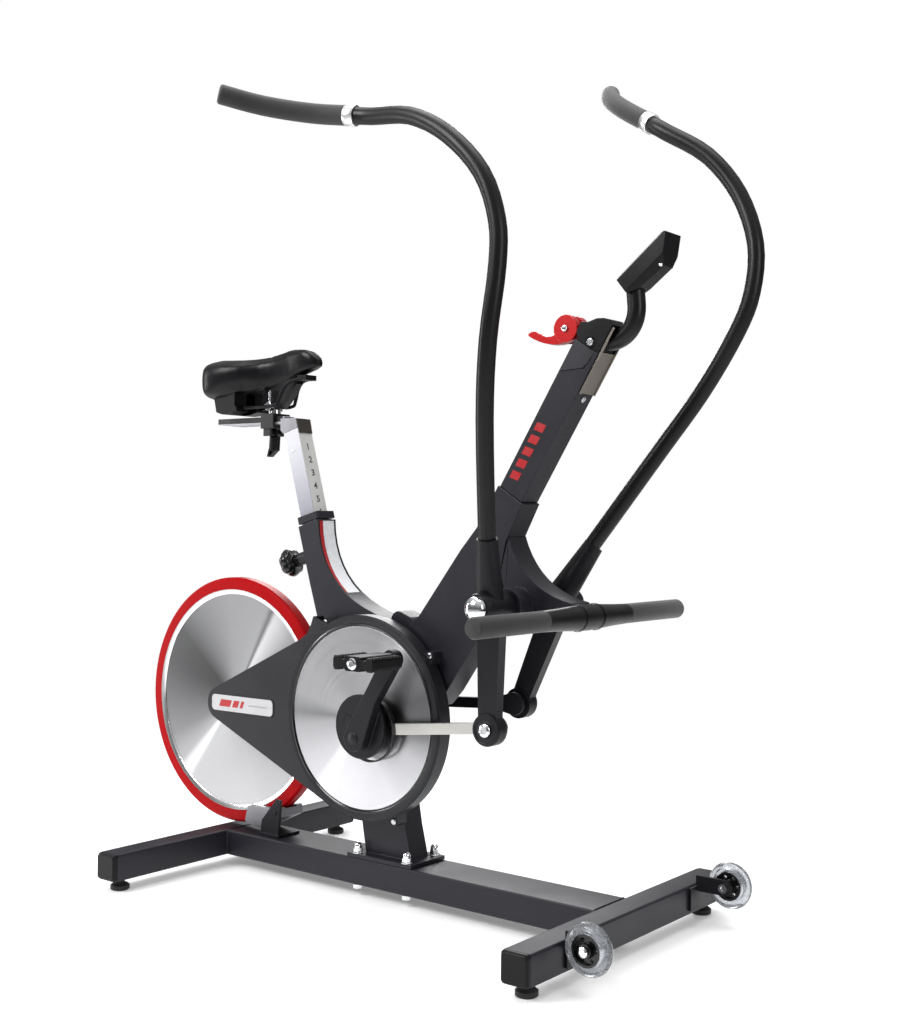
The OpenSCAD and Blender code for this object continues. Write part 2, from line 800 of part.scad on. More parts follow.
module arm_tube(s) {
    color("#0e0e0f") placed() arm_frame(s) difference() {
        sweep(concat([arm_pts(s, 0, 1, 1)[0] - [7, s * 5.3, 18]], arm_pts(s, 0, collar_at, 4),
            [arm_stop(s, 14)]), arm_tube_r, 20);
        translate(arm_pts(s, 0, 1, 1)[0]) rotate([s * -16, 20, 0]) translate([-40, -40, -60])
            cube([80, 80, 60.1]);
    }
}

module arm_grip(s) {
    all = arm_pts(s, collar_at, 12, 4);
    color("#2a2b2d") placed() arm_frame(s)
        sweep(concat([arm_stop(s, 14.1)], [for (i = [1 : len(all) - 1]) all[i]]), 17.5, 20);
}

module rod(s) {
    big = [-rod_len, 0];
    pin = [pivot_x, pivot_z] + [lever_pin[0] * cos(s * rest_swing) + lever_pin[1] * sin(s * rest_swing),
        -lever_pin[0] * sin(s * rest_swing) + lever_pin[1] * cos(s * rest_swing)];
    tip = ecc_at(s);
    lean = atan2(pin[1] - tip[1], pin[0] - tip[0]);
    color("#b9bcbf") placed() translate([pin[0], 0, pin[1]]) rotate([0, -lean, 0]) {
        slab(s > 0 ? 78 : -88, s > 0 ? 88 : -78) difference() {
            union() {
                translate(big) circle(60);
                link2([-40, 0], 11, [0, 0], 21);
                translate([-rod_len + 58, -10]) square([rod_len - 98, 20]);
            }
            translate(big) circle(57);
        }
        yturn(0, 0, s) polygon([[0, 87], [13, 87], [13, 90.5], [8, 90.5], [8, 114], [10.5, 114], [10.5, 118],
            [8.5, 120], [0, 120]]);
    }
}

/* ---- pedals ---- */

module pedal(s) {
    p = pin_at(s);
    color("#151517") placed() difference() {
        union() {
            slab(s < 0 ? -216 : 130, s < 0 ? -130 : 216) translate(p) round_rect(40, 26, 6);
            for (k = [-1, 1]) {
                slab(s < 0 ? -216 : 138, s < 0 ? -138 : 216) translate(p + [k * 38, 0])
                    round_rect(16, 20, 4);
                slab(s < 0 ? -216 : 204, s < 0 ? -204 : 216) translate(p + [k * 26, 0])
                    square([26, 14], center = true);
                slab(s < 0 ? -150 : 138, s < 0 ? -138 : 150) translate(p + [k * 26, 0])
                    square([26, 14], center = true);
            }
        }
        ybar(p[0], p[1], 6 + fit, s < 0 ? -215 : 120, s < 0 ? -120 : 215);
    }
}

/* ---- seat ---- */

// places children in the seat post's frame: origin on the collar line, +Z up the post
module post_frame() {
    translate([seat_ref[0], 0, seat_ref[1]]) rotate([0, -post_lean, 0]) children();
}

module seat_post() {
    color("#c4c7ca") placed() post_frame() difference() {
        translate([-post_side / 2, -post_side / 2, -125]) cube([post_side, post_side, 125 + post_top]);
        translate([-post_side / 2 + 2.5, -post_side / 2 + 2.5, -126])
            cube([post_side - 5, post_side - 5, 60]);
    }
}

slide_z = 898;
clamp_z = slide_z + 37;

// the slide's cross-section, a low plate under a narrower rail, from x0 (rail) and x1 (plate) to x2
module slide_shape(x0, x1, x2, grow) {
    translate([x1, -19 - grow, slide_z - grow]) cube([x2 - x1, 38 + 2 * grow, 5 + 2 * grow]);
    translate([x0, -15 - grow, slide_z + 4]) cube([x2 - x0, 30 + 2 * grow, 12 + grow]);
}

module slider_bar() {
    color("#6f7378") placed() {
        difference() {
            slab(-21, 21) polygon([[136, 886], [136, 909], [178.5, 909], [186.6, 877], [150, 871]]);
            post_frame() translate([-25, -25, -10]) cube([50, 50, 10 + post_top + 0.05]);
        }
        slide_shape(-54, -16, 140, 0);
    }
}

module seat_carriage() {
    color("#b4b7ba") placed() {
        difference() {
            union() {
                translate([82, -24, slide_z - 8]) cube([36, 48, 30]);
                for (s = [-1, 1]) {
                    translate([86, s * 17 - 3, slide_z - 23]) cube([20, 6, 16]);
                }
            }
            slide_shape(60, 60, 140, 0.3);
            translate([85, -7, slide_z - 9]) cube([22, 14, 4]);
        }
        translate([100, 0, slide_z + 22]) cylinder(r = 11, h = 10);
        ybar(100, clamp_z, 9, -21.4, 21.4);
        for (s = [-1, 1]) {
            translate([100, s * 15, clamp_z]) cylinder(r = 3, h = 32);
        }
        ybar(lever_hinge[0], lever_hinge[1], 4, -14.1, 14.1);
    }
}

// each of the saddle's two wire rails, from the rear block to the nose
rail_path = [[-20, 24, 936], [30, 25, 934], [118, 25, 935], [133, 24, 946], [143, 21, 968], [160, 16, 983],
    [186, 11, 988]];

module saddle_frame() {
    color("#101011") placed() {
        for (s = [-1, 1]) {
            sweep([for (q = run(rail_path, 0, 6, 3)) [q[0], s * q[1], q[2]]], 3.5, 12);
        }
        difference() {
            slab(-46, 46) polygon([[-33, 955], [-26, 926], [-10, 921], [14, 922], [34, 927], [34, 934],
                [28, 938], [28, 970]]);
            translate([-8, -12, 915]) cube([60, 24, 70]);
        }
        difference() {
            slab(-9, 9) polygon([[72, 937], [70, 948], [84, 982], [165, 990], [168, 978], [150, 954],
                [134, 938], [122, 930], [80, 930]]);
            ybar(100, clamp_z, 9.3, -20, 20);
        }
        translate([176, -15, 984]) cube([24, 30, 10]);
    }
}

saddle_x = [-69.5, 230];
function saddle_half(t) = 24 + 55 / (1 + exp(15.3 * (t - 0.428)));
function saddle_top(t) = 1034.5 - 7.8 * sin(180 * min(1, t / 0.75))
    + 18.3 * pow(max(0, (t - 0.35) / 0.65), 1.6) - 26 * pow(max(0, (t - 0.86) / 0.14), 2);
function saddle_low(t) = 940 + 35.7 / (1 + exp(-10.5 * (t - 0.169))) + 26.3 * t;

module saddle() {
    n = 22;
    m = 20;
    ring = [for (i = [0 : n]) let (
        t = 0.3 * i / n + 0.35 * (1 - cos(180 * i / n)),
        cap = sqrt(max(0.04, 1 - pow(abs(2 * t - 1), t < 0.5 ? 10 : 7))),
        w = saddle_half(t) * cap,
        z1 = saddle_top(t),
        z0 = saddle_low(t),
        zc = (z0 + z1) / 2,
        h = (z1 - z0) / 2 * (0.45 + 0.55 * cap)
    ) for (k = [0 : m - 1]) let (a = 360 * k / m, c = cos(a), sn = sin(a))
        [saddle_x[0] + (saddle_x[1] - saddle_x[0]) * t, w * sign(c) * pow(abs(c), 0.6),
            zc + h * sign(sn) * pow(abs(sn), 0.6)]];
    walls = [for (i = [0 : n - 1]) for (k = [0 : m - 1])
        [i * m + k, i * m + (k + 1) % m, (i + 1) * m + (k + 1) % m, (i + 1) * m + k]];
    ends = [[for (k = [0 : m - 1]) m - 1 - k], [for (k = [0 : m - 1]) n * m + k]];
    color("#161617") placed() polyhedron(points = ring, faces = concat(walls, ends));
}

lever_hinge = [96, slide_z - 14];

module seat_lever() {
    color("#141415") placed() {
        slab(-5, 5) difference() {
            link2(lever_hinge, 6.5, [98, 870], 6.5);
            translate(lever_hinge) circle(4 + fit);
        }
        translate([98, 0, 846]) rotate([0, 4, 0]) cylinder(r = 11, h = 29);
        slab(-6, 6) difference() {
            polygon([[87, 850], [82, 834], [90, 833], [107, 846], [107, 850]]);
            polygon([[92, 846], [88, 838], [91, 837], [99, 845]]);
        }
    }
}

module height_knob() {
    color("#111112") placed() knob_line() {
        translate([0, 0, 32]) cylinder(r = 28, h = 26);
        translate([0, 0, 58]) cylinder(r1 = 26, r2 = 20, h = 5);
        translate([0, 0, -9.5]) cylinder(r = 5, h = 45);
    }
}

base_frame();
base_caps();
foot(0, -1);  // foot_rear_right
foot(0, 1);  // foot_rear_left
foot(1, -1);  // foot_front_right
foot(1, 1);  // foot_front_left
wheel_brackets();
wheel_bolts();
wheel_tyre(-1);  // wheel_tyre_right
wheel_tyre(1);  // wheel_tyre_left
wheel_hub(-1);  // wheel_hub_right
wheel_hub(1);  // wheel_hub_left
frame_core();
base_fasteners();
seat_tube();
seat_collar();
mast_lower();
mast_upper();
flywheel_stays();
drive_cover();
cover_disc();
frame_screws();
crank_axle();
crank_arm(-1);  // crank_arm_right
crank_arm(1);  // crank_arm_left
drive_pulley();
drive_belt();
idler_pulley();
flywheel_disc();
flywheel_rim();
flywheel_axle();
flywheel_bearings();
brake_bracket();
magnet_carriage();
mast_head();
mast_plate();
shifter_lever();
console_stem();
console_body();
bar_bracket();
foot_bar();
foot_grips();
arm_shaft();
arm_casting(-1);  // arm_casting_right
arm_casting(1);  // arm_casting_left
arm_tube(-1);  // arm_tube_right
arm_tube(1);  // arm_tube_left
arm_grip(-1);  // arm_grip_right
arm_grip(1);  // arm_grip_left
rod(-1);  // rod_right
rod(1);  // rod_left
pedal(-1);  // pedal_right
pedal(1);  // pedal_left
seat_post();
slider_bar();
seat_carriage();
seat_lever();
saddle_frame();
saddle();
height_knob();
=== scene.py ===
"""Looks of the air bike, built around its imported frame. Metres, +X forward, +Y the rider's left, +Z up."""
import json
import math

import bmesh
import bpy
import numpy as np
from mathutils import Matrix, Vector

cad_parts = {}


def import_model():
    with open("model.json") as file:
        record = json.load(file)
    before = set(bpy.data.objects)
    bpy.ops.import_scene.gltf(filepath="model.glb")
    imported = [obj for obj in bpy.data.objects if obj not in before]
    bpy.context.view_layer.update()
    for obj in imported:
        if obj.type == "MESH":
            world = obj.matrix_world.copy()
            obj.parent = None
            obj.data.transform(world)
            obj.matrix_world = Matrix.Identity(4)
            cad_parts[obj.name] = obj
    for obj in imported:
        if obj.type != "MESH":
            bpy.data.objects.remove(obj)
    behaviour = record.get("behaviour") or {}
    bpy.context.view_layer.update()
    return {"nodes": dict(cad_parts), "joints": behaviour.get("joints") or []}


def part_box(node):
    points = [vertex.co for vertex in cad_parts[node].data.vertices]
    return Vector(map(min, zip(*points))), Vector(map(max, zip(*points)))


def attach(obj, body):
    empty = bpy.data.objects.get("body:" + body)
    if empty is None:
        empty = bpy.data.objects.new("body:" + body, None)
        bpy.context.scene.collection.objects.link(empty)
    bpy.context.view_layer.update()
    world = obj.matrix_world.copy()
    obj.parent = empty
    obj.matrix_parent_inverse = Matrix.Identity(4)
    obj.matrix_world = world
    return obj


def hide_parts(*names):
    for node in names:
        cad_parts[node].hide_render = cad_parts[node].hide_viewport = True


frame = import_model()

MM = 0.001
SIDES = {"right": -1, "left": 1}
JOINT = {j["name"]: j for j in frame["joints"]}
MAST_LEAN = math.radians(31.7)
POST_LEAN = math.radians(16)


def place_mm(x, y, z):
    """A point given in millimetres, with x measured from the flywheel's axle."""
    return Vector((x * MM + JOINT["flywheel_spin"]["pos_m"][0], y * MM, z * MM))


MAST_FOOT = place_mm(683, 0, 772)
SEAT_REF = place_mm(214, 0, 710)


def joint_at(name):
    return Vector(JOINT[name]["pos_m"])


# ---------------------------------------------------------------- shaders

class Shader:
    """A node material under construction: a Principled BSDF and short calls that add nodes to it."""

    def __init__(self, name, color, roughness, metallic=0.0, **inputs):
        self.mat = bpy.data.materials.new(name)
        self.mat.use_nodes = True
        self.tree = self.mat.node_tree
        self.bsdf = self.tree.nodes["Principled BSDF"]
        self.coords = self.add("ShaderNodeTexCoord").outputs["Object"]
        self.put("Base Color", (*color, 1))
        self.put("Roughness", roughness)
        self.put("Metallic", metallic)
        for key, value in inputs.items():
            self.put(key.replace("_", " "), value)

    @classmethod
    def over(cls, mat):
        """More nodes for a material that is already made."""
        s = cls.__new__(cls)
        s.mat, s.tree = mat, mat.node_tree
        s.bsdf = s.tree.nodes["Principled BSDF"]
        s.coords = s.add("ShaderNodeTexCoord").outputs["Object"]
        return s

    def under(self, name):
        """What feeds one of the surface's inputs so far."""
        return self.bsdf.inputs[name].links[0].from_socket

    def split(self, vector=None):
        node = self.add("ShaderNodeSeparateXYZ")
        self.feed(node, 0, vector or self.coords)
        return node.outputs

    def from_point(self, centre):
        node = self.add("ShaderNodeVectorMath", operation="SUBTRACT")
        self.feed(node, 0, self.coords)
        self.feed(node, 1, centre)
        return node.outputs[0]

    def add(self, kind, **props):
        node = self.tree.nodes.new(kind)
        for key, value in props.items():
            setattr(node, key, value)
        return node

    def put(self, name, value):
        if isinstance(value, bpy.types.NodeSocket):
            self.tree.links.new(value, self.bsdf.inputs[name])
        else:
            self.bsdf.inputs[name].default_value = value

    def feed(self, node, name, value):
        if isinstance(value, bpy.types.NodeSocket):
            self.tree.links.new(value, node.inputs[name])
        else:
            node.inputs[name].default_value = value
        return node

    def math(self, operation, a, b=0.0, clamp=False):
        node = self.add("ShaderNodeMath", operation=operation, use_clamp=clamp)
        self.feed(node, 0, a)
        self.feed(node, 1, b)
        return node.outputs[0]

    def noise(self, scale, detail=3, stretch=(1, 1, 1), coords=None):
        mapping = self.add("ShaderNodeMapping")
        self.feed(mapping, "Vector", coords or self.coords)
        self.feed(mapping, "Scale", stretch)
        node = self.add("ShaderNodeTexNoise")
        self.feed(node, "Vector", mapping.outputs[0])
        self.feed(node, "Scale", scale)
        self.feed(node, "Detail", detail)
        return node.outputs["Fac"]

    def line_noise(self, value, scale, detail=2):
        node = self.add("ShaderNodeTexNoise", noise_dimensions="1D")
        self.feed(node, "W", value)
        self.feed(node, "Scale", scale)
        self.feed(node, "Detail", detail)
        return node.outputs["Fac"]

    def cells(self, scale, feature="DISTANCE_TO_EDGE"):
        node = self.add("ShaderNodeTexVoronoi", feature=feature)
        self.feed(node, "Vector", self.coords)
        self.feed(node, "Scale", scale)
        return node.outputs["Distance"]

    def span(self, value, low, high, to_low=0.0, to_high=1.0):
        node = self.add("ShaderNodeMapRange", clamp=True)
        for name, v in zip(("Value", "From Min", "From Max", "To Min", "To Max"),
                           (value, low, high, to_low, to_high)):
            self.feed(node, name, v)
        return node.outputs[0]

    def mix(self, factor, a, b):
        node = self.add("ShaderNodeMix", data_type="RGBA")
        self.feed(node, 0, factor)
        for index, color in ((6, a), (7, b)):
            self.feed(node, index, color if isinstance(color, bpy.types.NodeSocket) else (*color, 1))
        return node.outputs[2]

    def bump(self, height, strength, distance=0.0004, normal=None):
        node = self.add("ShaderNodeBump")
        self.feed(node, "Strength", strength)
        self.feed(node, "Distance", distance)
        self.feed(node, "Height", height)
        if normal is not None:
            self.feed(node, "Normal", normal)
        self.put("Normal", node.outputs[0])
        return node.outputs[0]

    def from_axis(self, centre):
        """Distance from a Y axis through centre."""
        flat = self.add("ShaderNodeVectorMath", operation="MULTIPLY")
        self.feed(flat, 0, self.from_point(centre))
        self.feed(flat, 1, (1, 0, 1))
        length = self.add("ShaderNodeVectorMath", operation="LENGTH")
        self.feed(length, 0, flat.outputs[0])
        return length.outputs["Value"]


def powder_coat(name, color, roughness, worn, grain=900, depth=0.12, specular=0.4):
    """Sprayed paint: fine orange peel, faint cloudy gloss, patches rubbed a little lighter."""
    s = Shader(name, color, roughness, Specular_IOR_Level=specular)
    cloud = s.noise(9, 4)
    wear = s.span(s.noise(60, 5), 0.62, 0.74, 0.0, 0.25)
    s.put("Base Color", s.mix(wear, s.mix(cloud, [c * 0.9 for c in color], [c * 1.15 for c in color]), worn))
    fine = s.noise(grain, 2)
    s.put("Roughness", s.math("ADD", s.span(cloud, 0.3, 0.7, roughness - 0.05, roughness + 0.05),
                              s.span(fine, 0.3, 0.7, -0.03, 0.03)))
    s.bump(fine, depth, 0.0003)
    return s.mat


def gloss_paint(name, color, roughness):
    """Smooth enamel under a clear coat, with soft handling marks in its gloss."""
    s = Shader(name, color, roughness, Coat_Weight=0.12, Coat_Roughness=0.25, Specular_IOR_Level=0.25)
    marks = s.noise(25, 6, stretch=(1, 1, 0.3))
    s.put("Base Color", s.mix(marks, color, [c * 1.3 for c in color]))
    s.put("Roughness", s.span(marks, 0.35, 0.7, roughness - 0.05, roughness + 0.09))
    s.bump(s.noise(350, 2), 0.03)
    return s.mat


def moulded_plastic(name, color, roughness, grain=1400, depth=0.2, specular=0.35):
    """Injection-moulded plastic with a fine spark-eroded grain and patches of different gloss."""
    s = Shader(name, color, roughness, Specular_IOR_Level=specular)
    patch = s.noise(14, 4)
    s.put("Base Color", s.mix(patch, [c * 0.85 for c in color], [c * 1.25 for c in color]))
    s.put("Roughness", s.span(patch, 0.3, 0.7, roughness - 0.05, roughness + 0.06))
    s.bump(s.cells(grain, "F1"), depth, 0.00025)
    return s.mat


def rubber(name, color, roughness, grain=700, depth=0.4):
    s = Shader(name, color, roughness, Sheen_Weight=0.15, Sheen_Roughness=0.4)
    dust = s.noise(18, 5)
    s.put("Base Color", s.mix(s.span(dust, 0.5, 0.8), color, [c * 1.9 + 0.008 for c in color]))
    s.put("Roughness", s.span(dust, 0.3, 0.7, roughness - 0.07, roughness + 0.07))
    s.bump(s.noise(grain, 3), depth)
    return s.mat


def foam(name, color):
    """Closed-cell foam: tiny pits, dry surface, a little paler where hands rub it."""
    s = Shader(name, color, 0.72, Sheen_Weight=0.25, Sheen_Roughness=0.5)
    rubbed = s.noise(12, 4)
    pits = s.span(s.cells(1100, "F1"), 0.1, 0.55)
    s.put("Base Color", s.mix(rubbed, [c * 0.8 for c in color], [c * 1.35 for c in color]))
    s.put("Roughness", s.span(rubbed, 0.3, 0.7, 0.62, 0.8))
    s.bump(pits, 0.35, 0.0003)
    return s.mat


def turned_metal(name, color, roughness, centre, painted_reflections, stretch=0.6):
    """Metal faced on a lathe, its colour carrying painted reflections: fans of light painted in by angle,
    listed as (degrees, brightness).
    """
    s = Shader(name, color, roughness, 1.0, Anisotropic=stretch)
    s.put("Tangent", s.add("ShaderNodeTangent", direction_type="RADIAL", axis="Y").outputs[0])
    radius = s.from_axis(centre)
    broad = s.line_noise(radius, 160, 3)
    s.put("Roughness", s.span(broad, 0.3, 0.7, roughness - 0.02, roughness + 0.03))
    arm = s.split(s.from_point(centre))
    angle = s.math("ARCTAN2", arm["Z"], arm["X"])
    turn = s.math("FRACT", s.math("ADD", s.math("DIVIDE", angle, 2 * math.pi), 1.0))
    fan = s.math("ADD", turn, s.span(s.line_noise(radius, 70, 2), 0.0, 1.0, -0.0008, 0.0008))
    # painted reflections: this ramp paints the fans of reflected light into the base colour by angle
    ramp = s.add("ShaderNodeValToRGB")
    s.feed(ramp, 0, fan)
    stops = ramp.color_ramp.elements
    while len(stops) < len(painted_reflections):
        stops.new(0.5)
    for stop, (degrees, level) in zip(stops, painted_reflections):
        stop.position = degrees / 360
        stop.color = tuple(c * level ** 1.7 for c in color) + (1,)
    circles = s.span(s.line_noise(radius, 900, 1), 0.3, 0.7, 0.0, 0.10)
    s.put("Base Color", s.mix(circles, ramp.outputs[0], (0, 0, 0)))
    return s.mat


def brushed_metal(name, color, roughness, stretch, axis="Z", grain=900, metallic=1.0):
    """Metal with straight brushing; stretch is small along the brushing."""
    s = Shader(name, color, roughness, metallic, Anisotropic=0.4)
    s.put("Tangent", s.add("ShaderNodeTangent", direction_type="RADIAL", axis=axis).outputs[0])
    lines = s.noise(grain, 3, stretch)
    smudge = s.noise(22, 5)
    s.put("Base Color", s.mix(lines, [c * 0.9 for c in color], color))
    s.put("Roughness", s.math("ADD", s.span(lines, 0.3, 0.7, roughness - 0.03, roughness + 0.04),
                              s.span(smudge, 0.5, 0.8, 0.0, 0.06)))
    return s.mat


def bright_metal(name, color, roughness):
    """Plated or polished metal with faint haze and fine scratches."""
    s = Shader(name, color, roughness, 1.0)
    haze = s.noise(45, 5)
    scratches = s.noise(240, 2, (1, 8, 1))
    s.put("Roughness", s.math("ADD", s.span(haze, 0.35, 0.75, roughness - 0.02, roughness + 0.03),
                              s.span(scratches, 0.6, 0.75, 0, 0.02)))
    s.put("Base Color", s.mix(haze, [c * 0.96 for c in color], color))
    return s.mat


def part_painted(mat, black, where):
    """Gives a metal material a black plastic or painted area; where(shader) is 1 inside it."""
    s = Shader.over(mat)
    inside = where(s)
    s.put("Base Color", s.mix(inside, s.under("Base Color"), black))
    s.put("Metallic", s.math("SUBTRACT", 1.0, inside))
    s.put("Roughness", s.math("MAXIMUM", s.under("Roughness"), s.math("MULTIPLY", inside, 0.45)))
    return mat


def post_metal(mat):
    """Painted shade: the seat post's sides are painted darker and bluer than its front, more so towards the
    foot.
    """
    s = Shader.over(mat)
    at = s.split()
    side = s.math("GREATER_THAN", s.math("ABSOLUTE", at["Y"]), 18.2 * MM)
    height = s.span(at["Z"], 700 * MM, 860 * MM)
    # painted shade on the post's sides, darkest towards the foot
    painted_shade = s.mix(height, (0.30, 0.30, 0.36), (0.70, 0.70, 0.74))
    s.put("Base Color", s.mix(side, s.under("Base Color"), painted_shade))
    return mat


def rod_ring(s):
    """The rod's big ring, painted black."""
    throw = math.radians(-20)
    ring = joint_at("crank_spin") + 44 * MM * Vector((math.cos(throw), 0, math.sin(throw)))
    return s.span(s.from_axis(tuple(ring)), 66.5 * MM, 66 * MM)


def slide_rail(s):
    """The upper rail of the saddle's slide, and nothing of the bracket."""
    at = s.split()
    high = s.math("GREATER_THAN", at["Z"], 903.1 * MM)
    return s.math("MULTIPLY", high, s.math("LESS_THAN", at["X"], place_mm(135.9, 0, 0).x))


def clamp_body(s):
    """The saddle clamp's block, below the heads of its bolts."""
    return s.math("LESS_THAN", s.split()["Z"], 921 * MM)


def clear_urethane(name, color):
    """Smoked, half clear wheel rubber with scuffed tread."""
    s = Shader(name, color, 0.16, Transmission_Weight=0.82, IOR=1.45)
    scuff = s.noise(130, 4)
    s.put("Roughness", s.span(scuff, 0.4, 0.75, 0.1, 0.42))
    s.put("Base Color", s.mix(s.noise(40, 3), color, [c * 0.8 for c in color]))
    s.bump(scuff, 0.08)
    return s.mat


def gloss_plastic(name, color, roughness=0.22, coat=0.4, specular=0.3):
    """Smooth moulded plastic with a thin bright coat."""
    s = Shader(name, color, roughness, Coat_Weight=coat, Coat_Roughness=0.1, Specular_IOR_Level=specular)
    patch = s.noise(9, 2)
    s.put("Base Color", s.mix(patch, [c * 0.94 for c in color], color))
    s.put("Roughness", s.span(patch, 0.2, 0.8, roughness - 0.01, roughness + 0.02))
    return s.mat


def saddle_vinyl(name, color):
    """Soft vinyl: leather-like pebbles, creases and a low sheen on the crown."""
    s = Shader(name, color, 0.36, Specular_IOR_Level=0.24)
    pebble = s.cells(620, "F1")
    crease = s.noise(55, 6, (1, 1, 2))
    worn = s.noise(10, 3)
    s.put("Base Color", s.mix(worn, [c * 0.8 for c in color], [c * 1.35 for c in color]))
    s.put("Roughness", s.math("ADD", s.span(worn, 0.3, 0.7, 0.27, 0.33),
                              s.span(pebble, 0.0, 0.6, -0.04, 0.05)))
    soft = s.add("ShaderNodeBump")
    s.feed(soft, "Strength", 0.12)
    s.feed(soft, "Distance", 0.001)
    s.feed(soft, "Height", crease)
    s.bump(pebble, 0.16, 0.0003, soft.outputs[0])
    return s.mat


def printed_film(name, color, roughness=0.35):
    """Printed label film: faint roller texture and a slightly dusty gloss."""
    s = Shader(name, color, roughness, Coat_Weight=0.25, Coat_Roughness=0.25)
    dust = s.noise(70, 5)
    s.put("Base Color", s.mix(s.span(dust, 0.45, 0.8), color, [c * 0.88 for c in color]))
    s.put("Roughness", s.span(dust, 0.3, 0.7, roughness - 0.06, roughness + 0.08))
    s.bump(s.noise(1500, 2), 0.05)
    return s.mat


def display_glass(name):
    s = Shader(name, (0.012, 0.015, 0.014), 0.09, Coat_Weight=1.0, Coat_Roughness=0.03)
    s.put("Base Color", s.mix(s.noise(35, 4), (0.010, 0.012, 0.012), (0.018, 0.022, 0.02)))
    s.put("Roughness", s.span(s.noise(50, 5), 0.4, 0.8, 0.05, 0.2))
    return s.mat


# painted reflections: brightness painted into the turned discs by angle, from forward and then up
COVER_PAINTED_REFLECTIONS = [(0, 0.45), (18, 0.42), (40, 0.62), (49, 0.75), (54, 1.0), (60, 0.82), (75, 0.72),
                (120, 0.78), (168, 0.74), (181, 0.55), (190, 0.72), (228, 0.80), (237, 1.0), (242, 1.0),
                (248, 0.88), (300, 0.95), (335, 0.80), (352, 0.55), (360, 0.45)]
WHEEL_PAINTED_REFLECTIONS = [(0, 0.62), (40, 0.70), (57, 0.95), (60, 0.40), (64, 0.66), (95, 0.60), (120, 0.46),
                (135, 0.34), (141, 0.28), (160, 0.30), (182, 0.36), (205, 0.42), (222, 0.60), (229, 0.98),
                (234, 0.70), (250, 0.74), (290, 0.82), (335, 0.78), (360, 0.62)]


def make_materials():
    cover_centre = joint_at("crank_spin")
    wheel_centre = joint_at("flywheel_spin")
    return {
        "frame": powder_coat("frame_paint", (0.013, 0.013, 0.018), 0.42, (0.03, 0.03, 0.035), specular=0.3),
        "black_paint": gloss_paint("black_paint", (0.003, 0.003, 0.0035), 0.38),
        "cast_paint": powder_coat("cast_paint", (0.005, 0.005, 0.007), 0.42, (0.015, 0.015, 0.018), 500,
                                  0.15, 0.28),
        "plastic": moulded_plastic("black_plastic", (0.003, 0.003, 0.004), 0.40, specular=0.2),
        "cover_plastic": moulded_plastic("cover_plastic", (0.012, 0.012, 0.015), 0.40, 1100, 0.12, 0.32),
        "gloss_black": gloss_plastic("gloss_black", (0.005, 0.005, 0.0055), 0.2),
        "rubber": rubber("rubber", (0.008, 0.008, 0.008), 0.7),
        "foam": foam("foam", (0.013, 0.013, 0.014)),
        "chrome": bright_metal("chrome", (0.86, 0.87, 0.88), 0.1),
        "bracket_steel": brushed_metal("bracket_steel", (0.30, 0.30, 0.32), 0.38, (1, 0.2, 1), "Y"),
        "steel": bright_metal("machined_steel", (0.55, 0.56, 0.58), 0.26),
        "rod_steel": part_painted(brushed_metal("rod_steel", (0.66, 0.65, 0.61), 0.34, (0.05, 1, 1), "Y"),
                                  (0.006, 0.006, 0.006), rod_ring),
        "slide_steel": part_painted(bright_metal("slide_steel", (0.50, 0.50, 0.53), 0.34),
                                    (0.014, 0.014, 0.014), slide_rail),
        "clamp_steel": part_painted(bright_metal("clamp_steel", (0.8, 0.8, 0.82), 0.16),
                                    (0.005, 0.005, 0.006), clamp_body),
        "post_alu": post_metal(brushed_metal("post_alu", (0.90, 0.90, 0.87), 0.40, (1, 1, 0.03), "Z",
                                             metallic=0.6)),
        "cover_disc": turned_metal("cover_disc", (0.86, 0.86, 0.89), 0.34, cover_centre, COVER_PAINTED_REFLECTIONS),
        "fly_disc": turned_metal("flywheel_disc", (0.80, 0.80, 0.82), 0.34, wheel_centre, WHEEL_PAINTED_REFLECTIONS),
        "lip": bright_metal("polished_lip", (0.95, 0.95, 0.95), 0.2),
        "red_rim": gloss_plastic("red_rim", (0.37, 0.001, 0.003), 0.34, 0.02, 0.06),
        "red": gloss_plastic("red_plastic", (0.50, 0.008, 0.010), 0.26, 0.25),
        "urethane": clear_urethane("wheel_urethane", (0.62, 0.64, 0.68)),
        "nickel": brushed_metal("nickel", (0.26, 0.235, 0.205), 0.36, (1, 0.1, 1), "Y"),
        "vinyl": saddle_vinyl("saddle_vinyl", (0.0022, 0.0022, 0.0032)),
        "white_film": printed_film("white_film", (0.80, 0.81, 0.83)),
        "red_film": printed_film("red_film", (0.42, 0.010, 0.014)),
        "badge_silver": printed_film("badge_silver", (0.52, 0.52, 0.53)),
        "grey_film": printed_film("grey_film", (0.35, 0.36, 0.38)),
        "ink": printed_film("ink", (0.03, 0.03, 0.03), 0.5),
        "silver": bright_metal("silver_ring", (0.90, 0.90, 0.91), 0.3),
        "glass": display_glass("display_glass"),
        "brown": moulded_plastic("brown_plug", (0.035, 0.030, 0.024), 0.5),
        "lcd": printed_film("lcd_bar", (0.30, 0.42, 0.40), 0.4),
    }


MAT = make_materials()

